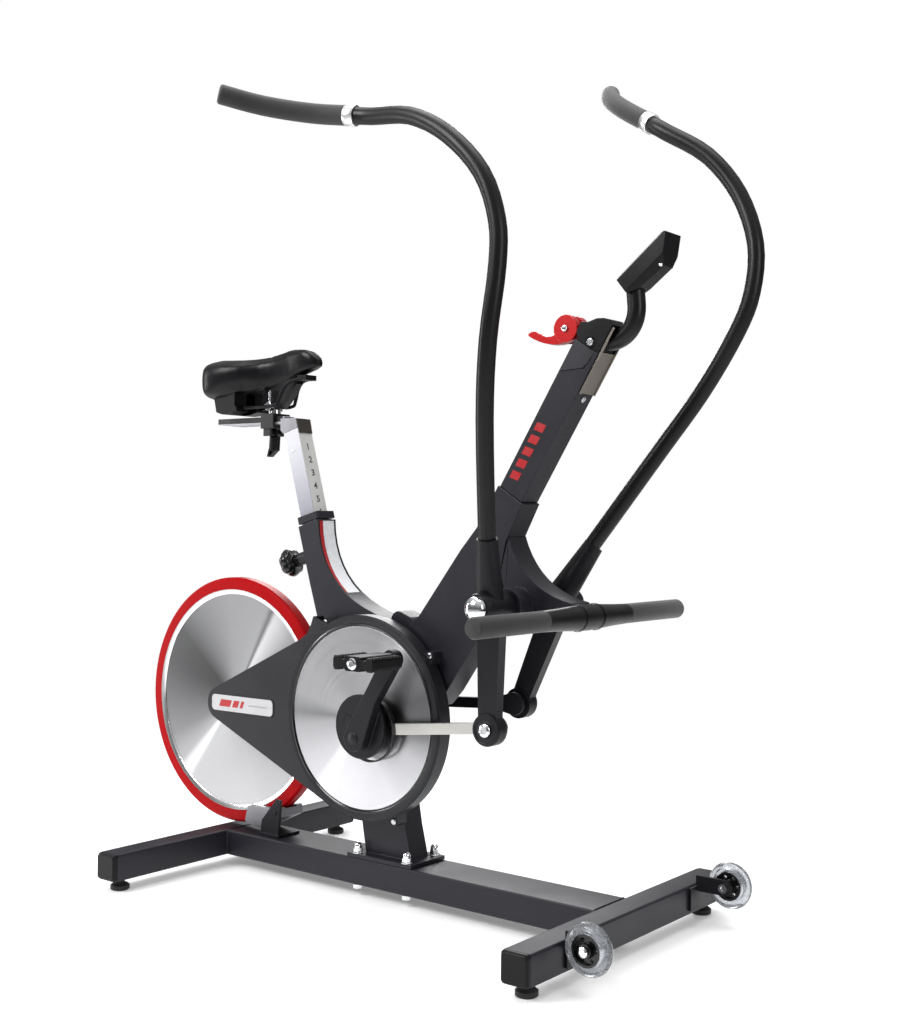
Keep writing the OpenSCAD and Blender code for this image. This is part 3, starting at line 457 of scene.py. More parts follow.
LOOKS = {
    "frame": "base_frame frame_core seat_tube seat_collar mast_lower mast_upper flywheel_stays "
             "bar_bracket",
    "plastic": "base_caps drive_pulley mast_head console_body pedal_right pedal_left seat_lever "
               "saddle_frame",
    "rubber": "foot_rear_right foot_rear_left foot_front_right foot_front_left drive_belt",
    # painted shade: rod_left gets the black cast paint because the left rod stands in shade, while the right
    # rod shows bare steel
    "cast_paint": "wheel_brackets crank_axle crank_arm_right crank_arm_left brake_bracket "
                  "arm_casting_right arm_casting_left rod_left",
    "chrome": "wheel_bolts base_fasteners arm_shaft",
    "urethane": "wheel_tyre_right wheel_tyre_left",
    "gloss_black": "wheel_hub_right wheel_hub_left height_knob",
    "cover_plastic": "drive_cover",
    "cover_disc": "cover_disc",
    "steel": "frame_screws idler_pulley flywheel_axle flywheel_bearings",
    "fly_disc": "flywheel_disc",
    "red_rim": "flywheel_rim",
    "bracket_steel": "magnet_carriage",
    "nickel": "mast_plate",
    "red": "shifter_lever",
    "black_paint": "console_stem foot_bar arm_tube_right arm_tube_left",
    "foam": "foot_grips arm_grip_right arm_grip_left",
    "rod_steel": "rod_right",
    "post_alu": "seat_post",
    "slide_steel": "slider_bar",
    "clamp_steel": "seat_carriage",
    "vinyl": "saddle",
}
NODE_LOOK = {node: look for look, nodes in LOOKS.items() for node in nodes.split()}


# width in millimetres of the rounded edges that the CAD nodes are given
EDGES = {
    0.3: "frame_screws",
    0.4: "cover_disc mast_plate foot_bar",
    0.5: "base_fasteners",
    0.6: "seat_collar",
    0.8: "wheel_brackets seat_tube flywheel_rim brake_bracket rod_right rod_left pedal_right "
         "pedal_left slider_bar seat_carriage",
    1.0: "flywheel_stays seat_post seat_lever",
    1.2: "base_caps frame_core mast_upper bar_bracket console_body",
    1.5: "mast_lower mast_head shifter_lever",
    2.0: "crank_arm_right crank_arm_left",
}
EDGE = {node: width for width, nodes in EDGES.items() for node in nodes.split()}


def dress_node(name):
    """Gives a CAD node its material, and rounds and smooths it with modifiers."""
    obj = frame["nodes"][name]
    mesh = obj.data
    mesh.materials.clear()
    mesh.materials.append(MAT[NODE_LOOK[name]])
    for attribute in ("custom_normal", "sharp_edge"):
        if attribute in mesh.attributes:
            mesh.attributes.remove(mesh.attributes[attribute])
    mesh.polygons.foreach_set("use_smooth", [True] * len(mesh.polygons))
    obj.modifiers.new("weld", "WELD").merge_threshold = 1e-6
    if name in EDGE:
        flat = obj.modifiers.new("flat", "DECIMATE")
        flat.decimate_type = "DISSOLVE"
        flat.angle_limit = math.radians(0.3)
        edge = obj.modifiers.new("edge", "BEVEL")
        edge.width = EDGE[name] * MM
        edge.segments = 2
        edge.limit_method = "ANGLE"
        edge.angle_limit = math.radians(32)
        edge.use_clamp_overlap = False
        edge.miter_outer = "MITER_ARC"
        obj.modifiers.new("normals", "WEIGHTED_NORMAL")
    else:
        split = obj.modifiers.new("split", "EDGE_SPLIT")
        split.split_angle = math.radians(32)


# ---------------------------------------------------------------- mesh helpers

def finish_piece(obj, look, body, smooth_angle=35, bevel=0.0):
    obj.data.materials.append(MAT[look])
    obj.data.polygons.foreach_set("use_smooth", [True] * len(obj.data.polygons))
    obj.data.set_sharp_from_angle(angle=math.radians(smooth_angle))
    if bevel:
        edge = obj.modifiers.new("edge", "BEVEL")
        edge.width = bevel
        edge.segments = 2
        edge.limit_method = "ANGLE"
        edge.angle_limit = math.radians(40)
    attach(obj, body)
    return obj


def piece(name, verts, faces, look, body, **kw):
    mesh = bpy.data.meshes.new(name)
    mesh.from_pydata([tuple(v) for v in verts], [], faces)
    bm = bmesh.new()
    bm.from_mesh(mesh)
    bmesh.ops.remove_doubles(bm, verts=bm.verts, dist=1e-6)
    bmesh.ops.recalc_face_normals(bm, faces=bm.faces)
    bm.to_mesh(mesh)
    bm.free()
    obj = bpy.data.objects.new(name, mesh)
    bpy.context.scene.collection.objects.link(obj)
    return finish_piece(obj, look, body, **kw)


def basis(direction, up=(0, 1, 0)):
    """A rotation whose Z axis is direction."""
    z = Vector(direction).normalized()
    x = Vector(up).cross(z)
    if x.length < 1e-6:
        x = Vector((1, 0, 0)).cross(z)
    x.normalize()
    return Matrix((x, z.cross(x), z)).transposed()


def lathe(name, profile, centre, direction, look, body, n=64, **kw):
    """Solid of revolution: profile is [(radius, distance along direction)] in mm, closed to its start."""
    turn = basis(direction)
    verts, faces = [], []
    m = len(profile)
    for i in range(n):
        a = 2 * math.pi * i / n
        for r, h in profile:
            verts.append(Vector(centre) + turn @ Vector((r * math.cos(a), r * math.sin(a), h)) * MM)
    for i in range(n):
        for k in range(m):
            a, b = i * m + k, i * m + (k + 1) % m
            c, d = ((i + 1) % n) * m + (k + 1) % m, ((i + 1) % n) * m + k
            faces.append((a, b, c, d))
    return piece(name, verts, clean(verts, faces), look, body, **kw)


def clean(verts, faces):
    """Drops repeated corners where a profile touches its axis."""
    out = []
    for f in faces:
        keep = []
        for i in f:
            if all((verts[i] - verts[j]).length > 1e-7 for j in keep):
                keep.append(i)
        if len(keep) > 2:
            out.append(tuple(keep))
    return out


def prism(name, outline, y0, y1, look, body, place=None, **kw):
    """A flat outline in X and Z, thick from y0 to y1; place maps it into the frame."""
    n = len(outline)
    verts = [Vector((x, y, z)) for y in (y0, y1) for x, z in outline]
    faces = [tuple(range(n)), tuple(range(2 * n - 1, n - 1, -1))]
    faces += [(i, (i + 1) % n, n + (i + 1) % n, n + i) for i in range(n)]
    if place:
        verts = [place @ v for v in verts]
    return piece(name, verts, faces, look, body, **kw)


def rounded(w, h, r, n=5):
    """Outline of a rectangle with round corners, centred."""
    points = []
    for cx, cz, a0 in ((w / 2 - r, h / 2 - r, 0), (r - w / 2, h / 2 - r, 90), (r - w / 2, r - h / 2, 180),
                       (w / 2 - r, r - h / 2, 270)):
        points += [(cx + r * math.cos(math.radians(a0 + 90 * i / n)),
                    cz + r * math.sin(math.radians(a0 + 90 * i / n)))
                   for i in range(n + 1)]
    return points


def tube(name, points, radius, look, body, n=16, **kw):
    """Round bar through points; radius is one number or one for each point."""
    points = [Vector(p) for p in points]
    radii = radius if isinstance(radius, (list, tuple)) else [radius] * len(points)
    verts, faces = [], []
    side = None
    for i, p in enumerate(points):
        along = (points[min(i + 1, len(points) - 1)] - points[max(i - 1, 0)]).normalized()
        if side is None:
            side = basis(along).col[0].copy()
        side = (side - along * side.dot(along)).normalized()
        other = along.cross(side)
        for k in range(n):
            a = 2 * math.pi * k / n
            verts.append(p + radii[i] * (side * math.cos(a) + other * math.sin(a)))
    for i in range(len(points) - 1):
        for k in range(n):
            faces.append((i * n + k, i * n + (k + 1) % n, (i + 1) * n + (k + 1) % n, (i + 1) * n + k))
    last = (len(points) - 1) * n
    faces += [tuple(range(n - 1, -1, -1)), tuple(range(last, last + n))]
    return piece(name, verts, faces, look, body, **kw)


def node_points(node):
    return np.array([v.co for v in frame["nodes"][node].data.vertices], float).reshape(-1, 3)


def mast_place(s, d, y=0.0):
    """Point s up the mast's axis and d in front of it."""
    up = Vector((math.sin(MAST_LEAN), 0, math.cos(MAST_LEAN)))
    across = Vector((math.cos(MAST_LEAN), 0, -math.sin(MAST_LEAN)))
    return MAST_FOOT + up * s + across * d + Vector((0, y, 0))


# ---------------------------------------------------------------- arms and foot bar

def shared_ring(node, other, reach=0.0006):
    """Centre and outward direction of node's end face that touches other."""
    own, there = node_points(node), node_points(other)
    near = [p for p in own if np.min(np.linalg.norm(there - p, axis=1)) < reach]
    ring = np.unique(np.round(np.array(near), 5), axis=0)
    centre = ring.mean(0)
    direction = np.linalg.svd(ring - centre)[2][2]
    if np.dot(own.mean(0) - centre, direction) > 0:
        direction = -direction
    return Vector(centre), Vector(direction)


def far_end(node, start, radius):
    """Centre and outward direction of the end face furthest from start."""
    own = node_points(node)
    distance = np.linalg.norm(own - np.array(start), axis=1)
    tip = own[np.argmax(distance)]
    ring = own[np.linalg.norm(own - tip, axis=1) < 2.02 * radius]
    ends = []
    for face in frame["nodes"][node].data.polygons:
        if all(np.linalg.norm(np.array(frame["nodes"][node].data.vertices[i].co) - tip) < 2.02 * radius
               for i in face.vertices):
            ends.append((face.area, face.normal.copy()))
    normal = max(ends, key=lambda e: e[0])[1]
    flat = [p for p in ring if abs(np.dot(p - tip, normal)) < 1e-5]
    return Vector(np.mean(np.unique(np.round(flat, 5), axis=0), axis=0)), normal


def grip_trim(side):
    """The bright collar between bare tube and grip, and the grip's rounded end."""
    body = f"{side}_arm"
    centre, outward = shared_ring(f"arm_grip_{side}", f"arm_tube_{side}", 0.004)
    r0, r1 = 15.15, 18.6
    lathe(f"grip_collar_{side}", [(r0, -4), (r1 - 0.6, -4), (r1, -3), (r1, 15),
                                  (r1 - 0.6, 16), (r0, 16)], centre, outward, "silver", body)
    end, out = far_end(f"arm_grip_{side}", centre, 17.5 * MM)
    arc = [math.radians(a) for a in range(0, 91, 15)]
    dome = [(0, -0.2), *((12.5 + 5 * math.cos(a), 5.5 * math.sin(a)) for a in arc), (0, 6)]
    lathe(f"grip_end_{side}", dome, end, out, "foam", body, n=40, smooth_angle=60)


def lever_boss(side):
    """Cover ring and bright bolt over the pivot at the foot of an arm."""
    s = SIDES[side]
    pin = joint_at(f"rod_{side}_turn")
    face = Vector((pin.x, s * 113 * MM, pin.z))
    out = (0, s, 0)
    lathe(f"boss_ring_{side}", [(13.5, 0), (27.5, 0), (27.5, 2), (26, 3.6),
                                (23, 4), (21, 2.4), (15, 2.4), (13.5, 3.4)],
          face, out, "cast_paint", f"{side}_arm")
    lathe(f"boss_bolt_{side}", [(0, 7.1), (6.3, 7.1), (6.3, 8.4), (7.2, 9.2),
                                (10.4, 8.2), (12.2, 6.4), (12.2, 4.6), (0, 4.6)],
          face, out, "chrome", f"{side}_rod", smooth_angle=50)


def foot_bar_trim():
    """Fine seams where the foot bar passes into its bracket."""
    lo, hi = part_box("foot_bar")
    centre = (lo + hi) / 2
    for side, s in SIDES.items():
        lathe(f"bar_seam_{side}", [(22.2, 27.1), (23.3, 27.1), (23.1, 28.4), (22.2, 28.9)],
              (centre.x, 0, centre.z), (0, s, 0), "black_paint", "base", n=72)


# ---------------------------------------------------------------- base details

def weld_bead(name, points, radius, body="base"):
    """A rippled bead through points."""
    path, radii = [], []
    for a, b in zip(points, points[1:]):
        a, b = Vector(a), Vector(b)
        steps = max(4, int((b - a).length / (1.1 * MM)))
        for k in range(steps):
            path.append(a.lerp(b, k / steps))
    path.append(Vector(points[-1]))
    for i in range(len(path)):
        radii.append(radius * (1 + 0.16 * math.sin(i * 2.1) + 0.05 * math.sin(i * 0.7)))
    radii[0] = radii[-1] = radius * 0.6
    tube(name, path, radii, "frame", body, n=8)


def base_welds():
    rear, front = place_mm(25.4, 0, 0).x, place_mm(902.6, 0, 0).x
    low, high, half = 24 * MM, 71.5 * MM, 50 * MM
    for tag, x in (("rear", rear), ("front", front)):
        for s in (-1, 1):
            weld_bead(f"weld_{tag}_{'left' if s > 0 else 'right'}",
                      [(x, s * half, low), (x, s * half, high)], 2.2 * MM)
        weld_bead(f"weld_{tag}_top", [(x, -46 * MM, 72.8 * MM), (x, 46 * MM, 72.8 * MM)], 1.6 * MM)
    for side, s in SIDES.items():
        weld_bead(f"weld_pedestal_{side}", [place_mm(383, s * 25.4, 81), place_mm(489, s * 25.4, 81)],
                  1.8 * MM)


def washers():
    """Plain washers under the acorn nuts."""
    for i, x in enumerate((374, 494)):
        for s in (-1, 1):
            lathe(f"washer_{i}_{'left' if s > 0 else 'right'}",
                  [(5.2, 0), (10.8, 0), (10.8, 1.2), (10.2, 1.6), (9.1, 1.6), (9.1, 0.2), (5.2, 0.2)],
                  place_mm(x, s * 40, 80.8), (0, 0, 1), "chrome", "base", n=48)


# ---------------------------------------------------------------- drive side

def disc_trim():
    """Black bead round the cover disc and bright lips inside the flywheel's rim."""
    hub, wheel = joint_at("crank_spin"), joint_at("flywheel_spin")
    lathe("disc_bead", [(170.9, 65), (172.2, 66.6), (174.5, 67.6), (176.5, 67), (176.5, 65)],
          (hub.x, 0, hub.z), (0, -1, 0), "gloss_black", "base", n=160)
    for side, s in SIDES.items():
        lathe(f"flywheel_lip_{side}", [(216.8, 9.2), (217, 11.2), (219, 12.4),
                                       (224.5, 13.8), (227, 14.2), (227, 10)],
              (wheel.x, 0, wheel.z), (0, s, 0), "lip", "flywheel", n=200, smooth_angle=60)


def badge():
    """A plain name plate with coloured bars on the belt guard's side."""
    place = Matrix.Translation(place_mm(79.5, -64, 333.5)) @ Matrix.Rotation(math.radians(-0.5), 4, "Y")
    prism("badge_frame", rounded(181 * MM, 38 * MM, 11 * MM), -1.0 * MM, 0, "frame", "base", place,
          bevel=0.3 * MM)
    prism("badge_face", rounded(175 * MM, 32 * MM, 8.5 * MM), -1.5 * MM, -0.9 * MM, "badge_silver", "base",
          place, bevel=0.15 * MM)
    slant = 6
    for i, (x0, x1) in enumerate(((-66, -34), (-28, -12), (-6, 2))):
        corners = ((x0, -7), (x1, -7), (x1 + slant, 7), (x0 + slant, 7))
        outline = [(x * MM, z * MM) for x, z in corners]
        prism(f"badge_bar_{i}", outline, -1.75 * MM, -1.4 * MM, "red_film", "base", place)
    prism("badge_line", rounded(52 * MM, 3 * MM, 1.4 * MM), -1.75 * MM, -1.4 * MM, "grey_film", "base",
          place @ Matrix.Translation(Vector((46 * MM, 0, 0))))


def mast_mark():
    """Slanted red bars on each side of the mast."""
    for side, s in SIDES.items():
        for i in range(5):
            foot = 24 + 24 * i
            corners = [mast_place((foot + up) * MM, ahead * MM)
                       for up, ahead in ((0, 12), (15, 12), (19, 31), (4, 31))]
            prism(f"mast_bar_{side}_{i}", [(c.x, c.z) for c in corners], s * 25 * MM, s * 25.35 * MM,
                  "red_film", "base")


def mast_facets():
    """A shallow dressed flat on each side of the mast, just under its head."""
    outline = [(5.7, 231, 2.0), (30, 248, 2.2), (43.7, 257.5, 2.0), (48, 272, 1.2), (49, 291, 0.4),
               (5, 291, 0.4)]
    for side, s in SIDES.items():
        verts = [mast_place(h * MM, d * MM, s * 24.8 * MM) for d, h, t in outline]
        verts += [mast_place(h * MM, d * MM, s * (25 + t) * MM) for d, h, t in outline]
        n = len(outline)
        faces = [tuple(range(n)), tuple(range(2 * n - 1, n - 1, -1))]
        faces += [(i, (i + 1) % n, n + (i + 1) % n, n + i) for i in range(n)]
        piece(f"mast_facet_{side}", verts, faces, "frame", "base", bevel=0.6 * MM)


def front_curve():
    """The seat tube's swept front edge, from near its top down."""
    a, b, c = Vector((247, 0, 708)), Vector((250, 0, 578)), Vector((395, 0, 532))
    curve = [a * (1 - t) ** 2 + b * 2 * t * (1 - t) + c * t * t for t in (i / 10 for i in range(11))]
    curve = [place_mm(*p) for p in curve]
    return [curve[0].lerp(curve[1], 0.12)] + curve[1:8]


def ribbon(name, path, y0, y1, lift, thick, look, body):
    """A thin strip between y0 and y1 laid on path, which lies in the X-Z plane."""
    verts, faces = [], []
    for i, p in enumerate(path):
        along = (path[min(i + 1, len(path) - 1)] - path[max(i - 1, 0)]).normalized()
        out = Vector((-along.z, 0, along.x))
        w0 = y0[i] if isinstance(y0, list) else y0
        w1 = y1[i] if isinstance(y1, list) else y1
        for h in (lift, lift + thick):
            verts += [p + out * h + Vector((0, w0, 0)), p + out * h + Vector((0, w1, 0))]
    for i in range(len(path) - 1):
        a = 4 * i
        faces += [(a, a + 1, a + 5, a + 4), (a + 2, a + 6, a + 7, a + 3), (a, a + 4, a + 6, a + 2),
                  (a + 1, a + 3, a + 7, a + 5)]
    last = 4 * (len(path) - 1)
    faces += [(0, 2, 3, 1), (last, last + 1, last + 3, last + 2)]
    return piece(name, verts, faces, look, body, smooth_angle=40)


def seat_tube_decal():
    """White film with a red edge down the front of the seat tube."""
    path = front_curve()
    n = len(path)
    right = [(-12 - 7 * (i / n) ** 2) * MM for i in range(n)]
    left = [(19 - 5 * (i / n) ** 3) * MM for i in range(n)]
    ribbon("decal_white", path, right, left, 0.15 * MM, 0.3 * MM, "white_film", "base")
    ribbon("decal_red", path, [-21.5 * MM] * n, [r - 0.2 * MM for r in right], 0.15 * MM, 0.3 * MM,
           "red_film", "base")


def post_frame():
    return Matrix.Translation(SEAT_REF) @ Matrix.Rotation(-POST_LEAN, 4, "Y")


def post_marks():
    """Height marks 1 to 6 printed up the front of the seat post."""
    face = post_frame() @ Matrix.Translation(Vector((19.1 * MM, 0, 0)))
    for i in range(6):
        z = (142 - 27 * i) * MM
        curve = bpy.data.curves.new(f"post_number_{i + 1}", "FONT")
        curve.body = str(i + 1)
        curve.size = 18 * MM
        curve.offset = 0.35 * MM
        curve.extrude = 0.12 * MM
        curve.align_x = "CENTER"
        curve.align_y = "CENTER"
        text = bpy.data.objects.new(curve.name, curve)
        mesh = bpy.data.meshes.new_from_object(text)
        bpy.data.objects.remove(text)
        obj = bpy.data.objects.new(f"post_number_{i + 1}", mesh)
        mesh.transform(face @ Matrix.Translation(Vector((0.1 * MM, 0, z)))
                       @ Matrix(((0, 0, 1, 0), (1, 0, 0, 0), (0, 1, 0, 0), (0, 0, 0, 1))))
        bpy.context.scene.collection.objects.link(obj)
        mesh.materials.clear()
        finish_piece(obj, "ink", "post")


# ---------------------------------------------------------------- console and lever

CONSOLE = Matrix.Translation(place_mm(917.5, 0, 1109)) @ Matrix.Rotation(math.radians(-39), 4, "Y")


def console_face():
    """Silver bezel, dark display and its digits on the console's upper face."""
    flat = CONSOLE @ Matrix.Translation(Vector((57.5 * MM, 0, 0))) @ Matrix.Rotation(math.radians(90), 4, "X")
    outer = rounded(113.6 * MM, 50.4 * MM, 7 * MM)
    inner = rounded(94 * MM, 36 * MM, 4 * MM)
    n = len(outer)
    verts = []
    crest = rounded(112 * MM, 48 * MM, 6.4 * MM)
    for y, ring in ((0.5, outer), (-3.8, crest), (-3.8, inner), (0.5, inner)):
        verts += [flat @ Vector((x, y * MM, z)) for x, z in ring]
    faces = []
    for k in range(4):
        for i in range(n):
            j = (i + 1) % n
            faces.append((k * n + i, k * n + j, ((k + 1) % 4) * n + j, ((k + 1) % 4) * n + i))
    piece("console_bezel", verts, faces, "silver", "base", smooth_angle=40)
    prism("console_glass", inner, -1.7 * MM, 0.4 * MM, "glass", "base", flat)
    for tail, x in (("", -24), ("_b", -6), ("_c", 18), ("_d", 36)):
        digit(flat, f"console_digit{tail}", x * MM)


def digit(flat, name, x):
    """A zero in seven-segment bars."""
    w, h, t = 9 * MM, 8 * MM, 1.6 * MM
    turn = flat @ Matrix.Translation(Vector((x - 6 * MM, 0, 0))) @ Matrix.Rotation(math.radians(90), 4, "Y")
    bars = [(0, h, w - t, t), (0, -h, w - t, t), (-w / 2, h / 2, t, h - t), (w / 2, h / 2, t, h - t),
            (-w / 2, -h / 2, t, h - t), (w / 2, -h / 2, t, h - t)]
    verts, faces = [], []
    for cx, cz, bw, bh in bars:
        base = len(verts)
        ring = rounded(bw, bh, min(bw, bh) * 0.3, 2)
        n = len(ring)
        for y in (-1.75 * MM, -1.55 * MM):
            verts += [turn @ Vector((cx + a, y, cz + b)) for a, b in ring]
        faces += [tuple(base + i for i in range(n)), tuple(base + n + i for i in reversed(range(n)))]
        faces += [(base + i, base + (i + 1) % n, base + n + (i + 1) % n, base + n + i) for i in range(n)]
    piece(name, verts, faces, "lcd", "base")


def socket_screw(name, at, out, r, body):
    """Button-head screw of radius r mm with a socket."""
    profile = [(0.42 * r, 0.28 * r), (0.46 * r, 0.62 * r), (0.7 * r, 0.58 * r), (0.92 * r, 0.36 * r),
               (r, 0.1 * r),
               (r, -0.1 * r), (0, -0.1 * r), (0, 0.28 * r)]
    lathe(name, profile, at, out, "chrome", body, n=36, smooth_angle=40)


def small_screws():
    for side, s in SIDES.items():
        socket_screw(f"lever_screw_{side}", mast_place(296 * MM, -27 * MM, s * 22 * MM), (0, s, 0), 6, "base")
        socket_screw(f"console_screw_{side}", CONSOLE @ Vector((74 * MM, s * 17.5 * MM, -35.6 * MM)),
                     (0.57, s, -0.7), 3.4,
                     "base")
        ring = mast_place(301 * MM, 33 * MM, s * 25 * MM)
        lathe(f"head_ring_{side}", [(6.6, 0), (10.5, 0), (9.6, 1.8), (7.4, 1.8)],
              ring, (0, s, 0), "gloss_black", "base", n=40)
        hole = post_frame() @ Vector((-4 * MM, s * 19.05 * MM, 140 * MM))
        socket_screw(f"post_screw_{side}", hole, (0, s, 0), 3, "post")


def slide_cap():
    """Dark plug in the front of the bracket on the seat post."""
    a, b = place_mm(178.5, 0, 907.5), place_mm(186.2, 0, 879)
    out = Vector((a.z - b.z, 0, b.x - a.x)).normalized()
    corners = [a, b, b + out * 1.6 * MM, a + out * 1.6 * MM]
    prism("slide_cap", [(v.x, v.z) for v in corners], -18.5 * MM, 18.5 * MM, "brown", "post", bevel=0.5 * MM)


# ---------------------------------------------------------------- pedals and cranks

def pedal_trim(side):
    """Tread blocks with teeth, and a cap, on a pedal."""
    s = SIDES[side]
    body = f"{side}_pedal"
    at = joint_at(f"pedal_{side}_spin")
    lathe(f"pedal_cap_{side}", [(0, 0), (10.5, 0), (10.5, 2.2), (9, 4), (6, 4.6), (5.2, 3.6), (0, 3.4)],
          (at.x, s * 216 * MM, at.z), (0, s, 0), "chrome", body, n=48)
    for k in (-1, 1):
        for i in range(9):
            y = s * (142 + 8.7 * i) * MM
            for up in (-1, 1):
                x = at.x + k * 38 * MM
                z = at.z + up * 10 * MM
                verts = [Vector((x + dx * MM, y + s * dy * MM, z + up * dz * MM))
                         for dx, dy, dz in ((-7, 0, 0), (7, 0, 0), (7, 4.6, 0), (-7, 4.6, 0), (-5, 1.2, 2.4),
                                            (5, 1.2, 2.4), (5, 3.4, 2.4), (-5, 3.4, 2.4))]
                faces = [(0, 1, 2, 3), (4, 7, 6, 5), (0, 4, 5, 1), (1, 5, 6, 2), (2, 6, 7, 3), (3, 7, 4, 0)]
                piece(f"tread_{side}_{'f' if k > 0 else 'b'}{'u' if up > 0 else 'd'}{i}", verts, faces,
                      "plastic",
                      body)


def crank_trim(side):
    s = SIDES[side]
    hub = joint_at("crank_spin")
    at = joint_at(f"pedal_{side}_spin")
    out = (0, s, 0)
    lathe(f"crank_cap_{side}", [(0, 0), (11.5, 0), (11.5, 0.8), (10, 1.8), (0, 2.2)],
          (hub.x - s * 32 * MM, s * 120 * MM, hub.z + s * 28.8 * MM), out, "cast_paint", "crank", n=48)
    lathe(f"spindle_boss_{side}", [(6.2, 0), (13.5, 0), (13.5, 2.5), (12, 4), (6.2, 4)],
          (at.x, s * 119.8 * MM, at.z), out, "cast_paint", "crank", n=40)


# ---------------------------------------------------------------- knob

def knob():
    """The lobed height knob."""
    j = JOINT["height_knob_pull"]
    out = Vector(j["axis"]).normalized()
    root = place_mm(196.5, 0, 633)
    turn = basis(out)
    profile = [(0, 33), (13, 33), (14, 35), (23, 37), (28, 42), (29, 49), (26, 56), (20, 60.5), (12, 62.5),
               (0, 63)]
    n, verts, faces = 96, [], []
    m = len(profile)
    for i in range(n):
        a = 2 * math.pi * i / n
        for r, h in profile:
            lobes = 1 - 0.10 * (r / 29) ** 3 * (0.5 + 0.5 * math.cos(7 * a)) ** 1.5
            verts.append(root + turn @ Vector((r * lobes * math.cos(a), r * lobes * math.sin(a), h)) * MM)
    for i in range(n):
        for k in range(m - 1):
            faces.append((i * m + k, i * m + k + 1, ((i + 1) % n) * m + k + 1, ((i + 1) % n) * m + k))
    obj = piece("knob_head", verts, clean(verts, faces), "gloss_black", "knob", smooth_angle=60)
    lathe("knob_neck", [(5.2, 17.5), (12, 17.5), (12.5, 19), (11, 22),
                        (10.5, 33.5), (5.2, 33.5)], root, out, "plastic", "knob", n=48)
    lathe("knob_cap", [(0, 62.6), (8, 62.4), (8, 63.3), (6.5, 64.2), (0, 64.4)],
          root, out, "plastic", "knob", n=36)
    pin = lathe("knob_pin", [(0, -9.5), (4.2, -9.5), (5, -8), (5, 34), (0, 34)],
                root, out, "steel", "knob", n=32)
    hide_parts("height_knob")
    return pin


# ---------------------------------------------------------------- saddle

def saddle():
    """The padded top: the CAD shape under air pressure, its flanks let down."""
    source = frame["nodes"]["saddle"]
    bm = bmesh.new()
    bm.from_mesh(source.data)
    bmesh.ops.remove_doubles(bm, verts=bm.verts, dist=1e-6)
    bmesh.ops.recalc_face_normals(bm, faces=bm.faces)
    for v in bm.verts:
        v.co -= v.normal * 1.0 * MM
    mesh = bpy.data.meshes.new("saddle_pad")
    bm.to_mesh(mesh)
    bm.free()
    pad = bpy.data.objects.new("saddle_pad", mesh)
    bpy.context.scene.collection.objects.link(pad)
    bpy.context.view_layer.objects.active = pad
    apply_modifier(pad, "REMESH", mode="VOXEL", voxel_size=5 * MM)
    rest = points_of(pad)
    inflate(pad, rest)
    apply_modifier(pad, "CORRECTIVE_SMOOTH", factor=0.6, iterations=8)
    apply_modifier(pad, "SUBSURF", levels=1)
    hang_flank(pad)
    finish_piece(pad, "vinyl", "seat", smooth_angle=180)
    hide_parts("saddle")
    return pad


def hang_flank(pad):
    """Lets the padding's lower edge hang round the frame, most at mid-length."""
    co = points_of(pad)
    rear, nose = co[:, 0].min(), co[:, 0].max()
    along = (co[:, 0] - rear) / (nose - rear)
    swell = np.clip(1 - ((along - 0.42) / 0.40) ** 2, 0, 1)
    bins = np.clip((along * 24).astype(int), 0, 23)
    middle = np.array([co[bins == i, 2].mean() for i in range(24)])
    level = np.interp(along * 24 - 0.5, np.arange(24), middle)
    low = np.clip((level - co[:, 2]) / (22 * MM), 0, 1)
    co[:, 2] -= 13 * MM * swell * low
    pad.data.vertices.foreach_set("co", co.astype(np.float32).ravel())
    pad.data.update()


def points_of(obj):
    return np.array([v.co for v in obj.data.vertices], float).reshape(-1, 3)


def apply_modifier(obj, kind, **settings):
    modifier = obj.modifiers.new(kind, kind)
    for key, value in settings.items():
        setattr(modifier, key, value)
    graph = bpy.context.evaluated_depsgraph_get()
    made = bpy.data.meshes.new_from_object(obj.evaluated_get(graph))
    obj.modifiers.clear()
    obj.data = made


def inflate(obj, rest, pressure=4.0, cap=6 * MM, frames=20):
    """Blender's cloth with air pressure and no gravity; no point moves further than cap."""
    cloth = obj.modifiers.new("Cloth", "CLOTH")
    cloth.settings.use_pressure = True
    cloth.settings.uniform_pressure_force = pressure
    cloth.settings.effector_weights.gravity = 0
    scene = bpy.context.scene
    for number in range(1, frames + 1):
        scene.frame_set(number)
    graph = bpy.context.evaluated_depsgraph_get()
    moved = points_of(obj.evaluated_get(graph))
    obj.modifiers.clear()
    step = moved - rest
    length = np.linalg.norm(step, axis=1, keepdims=True)
    step *= np.minimum(1.0, cap / np.maximum(length, 1e-9))
    obj.data.vertices.foreach_set("co", (rest + step).astype(np.float32).ravel())
    obj.data.update()
    scene.frame_set(1)


# ---------------------------------------------------------------- stage

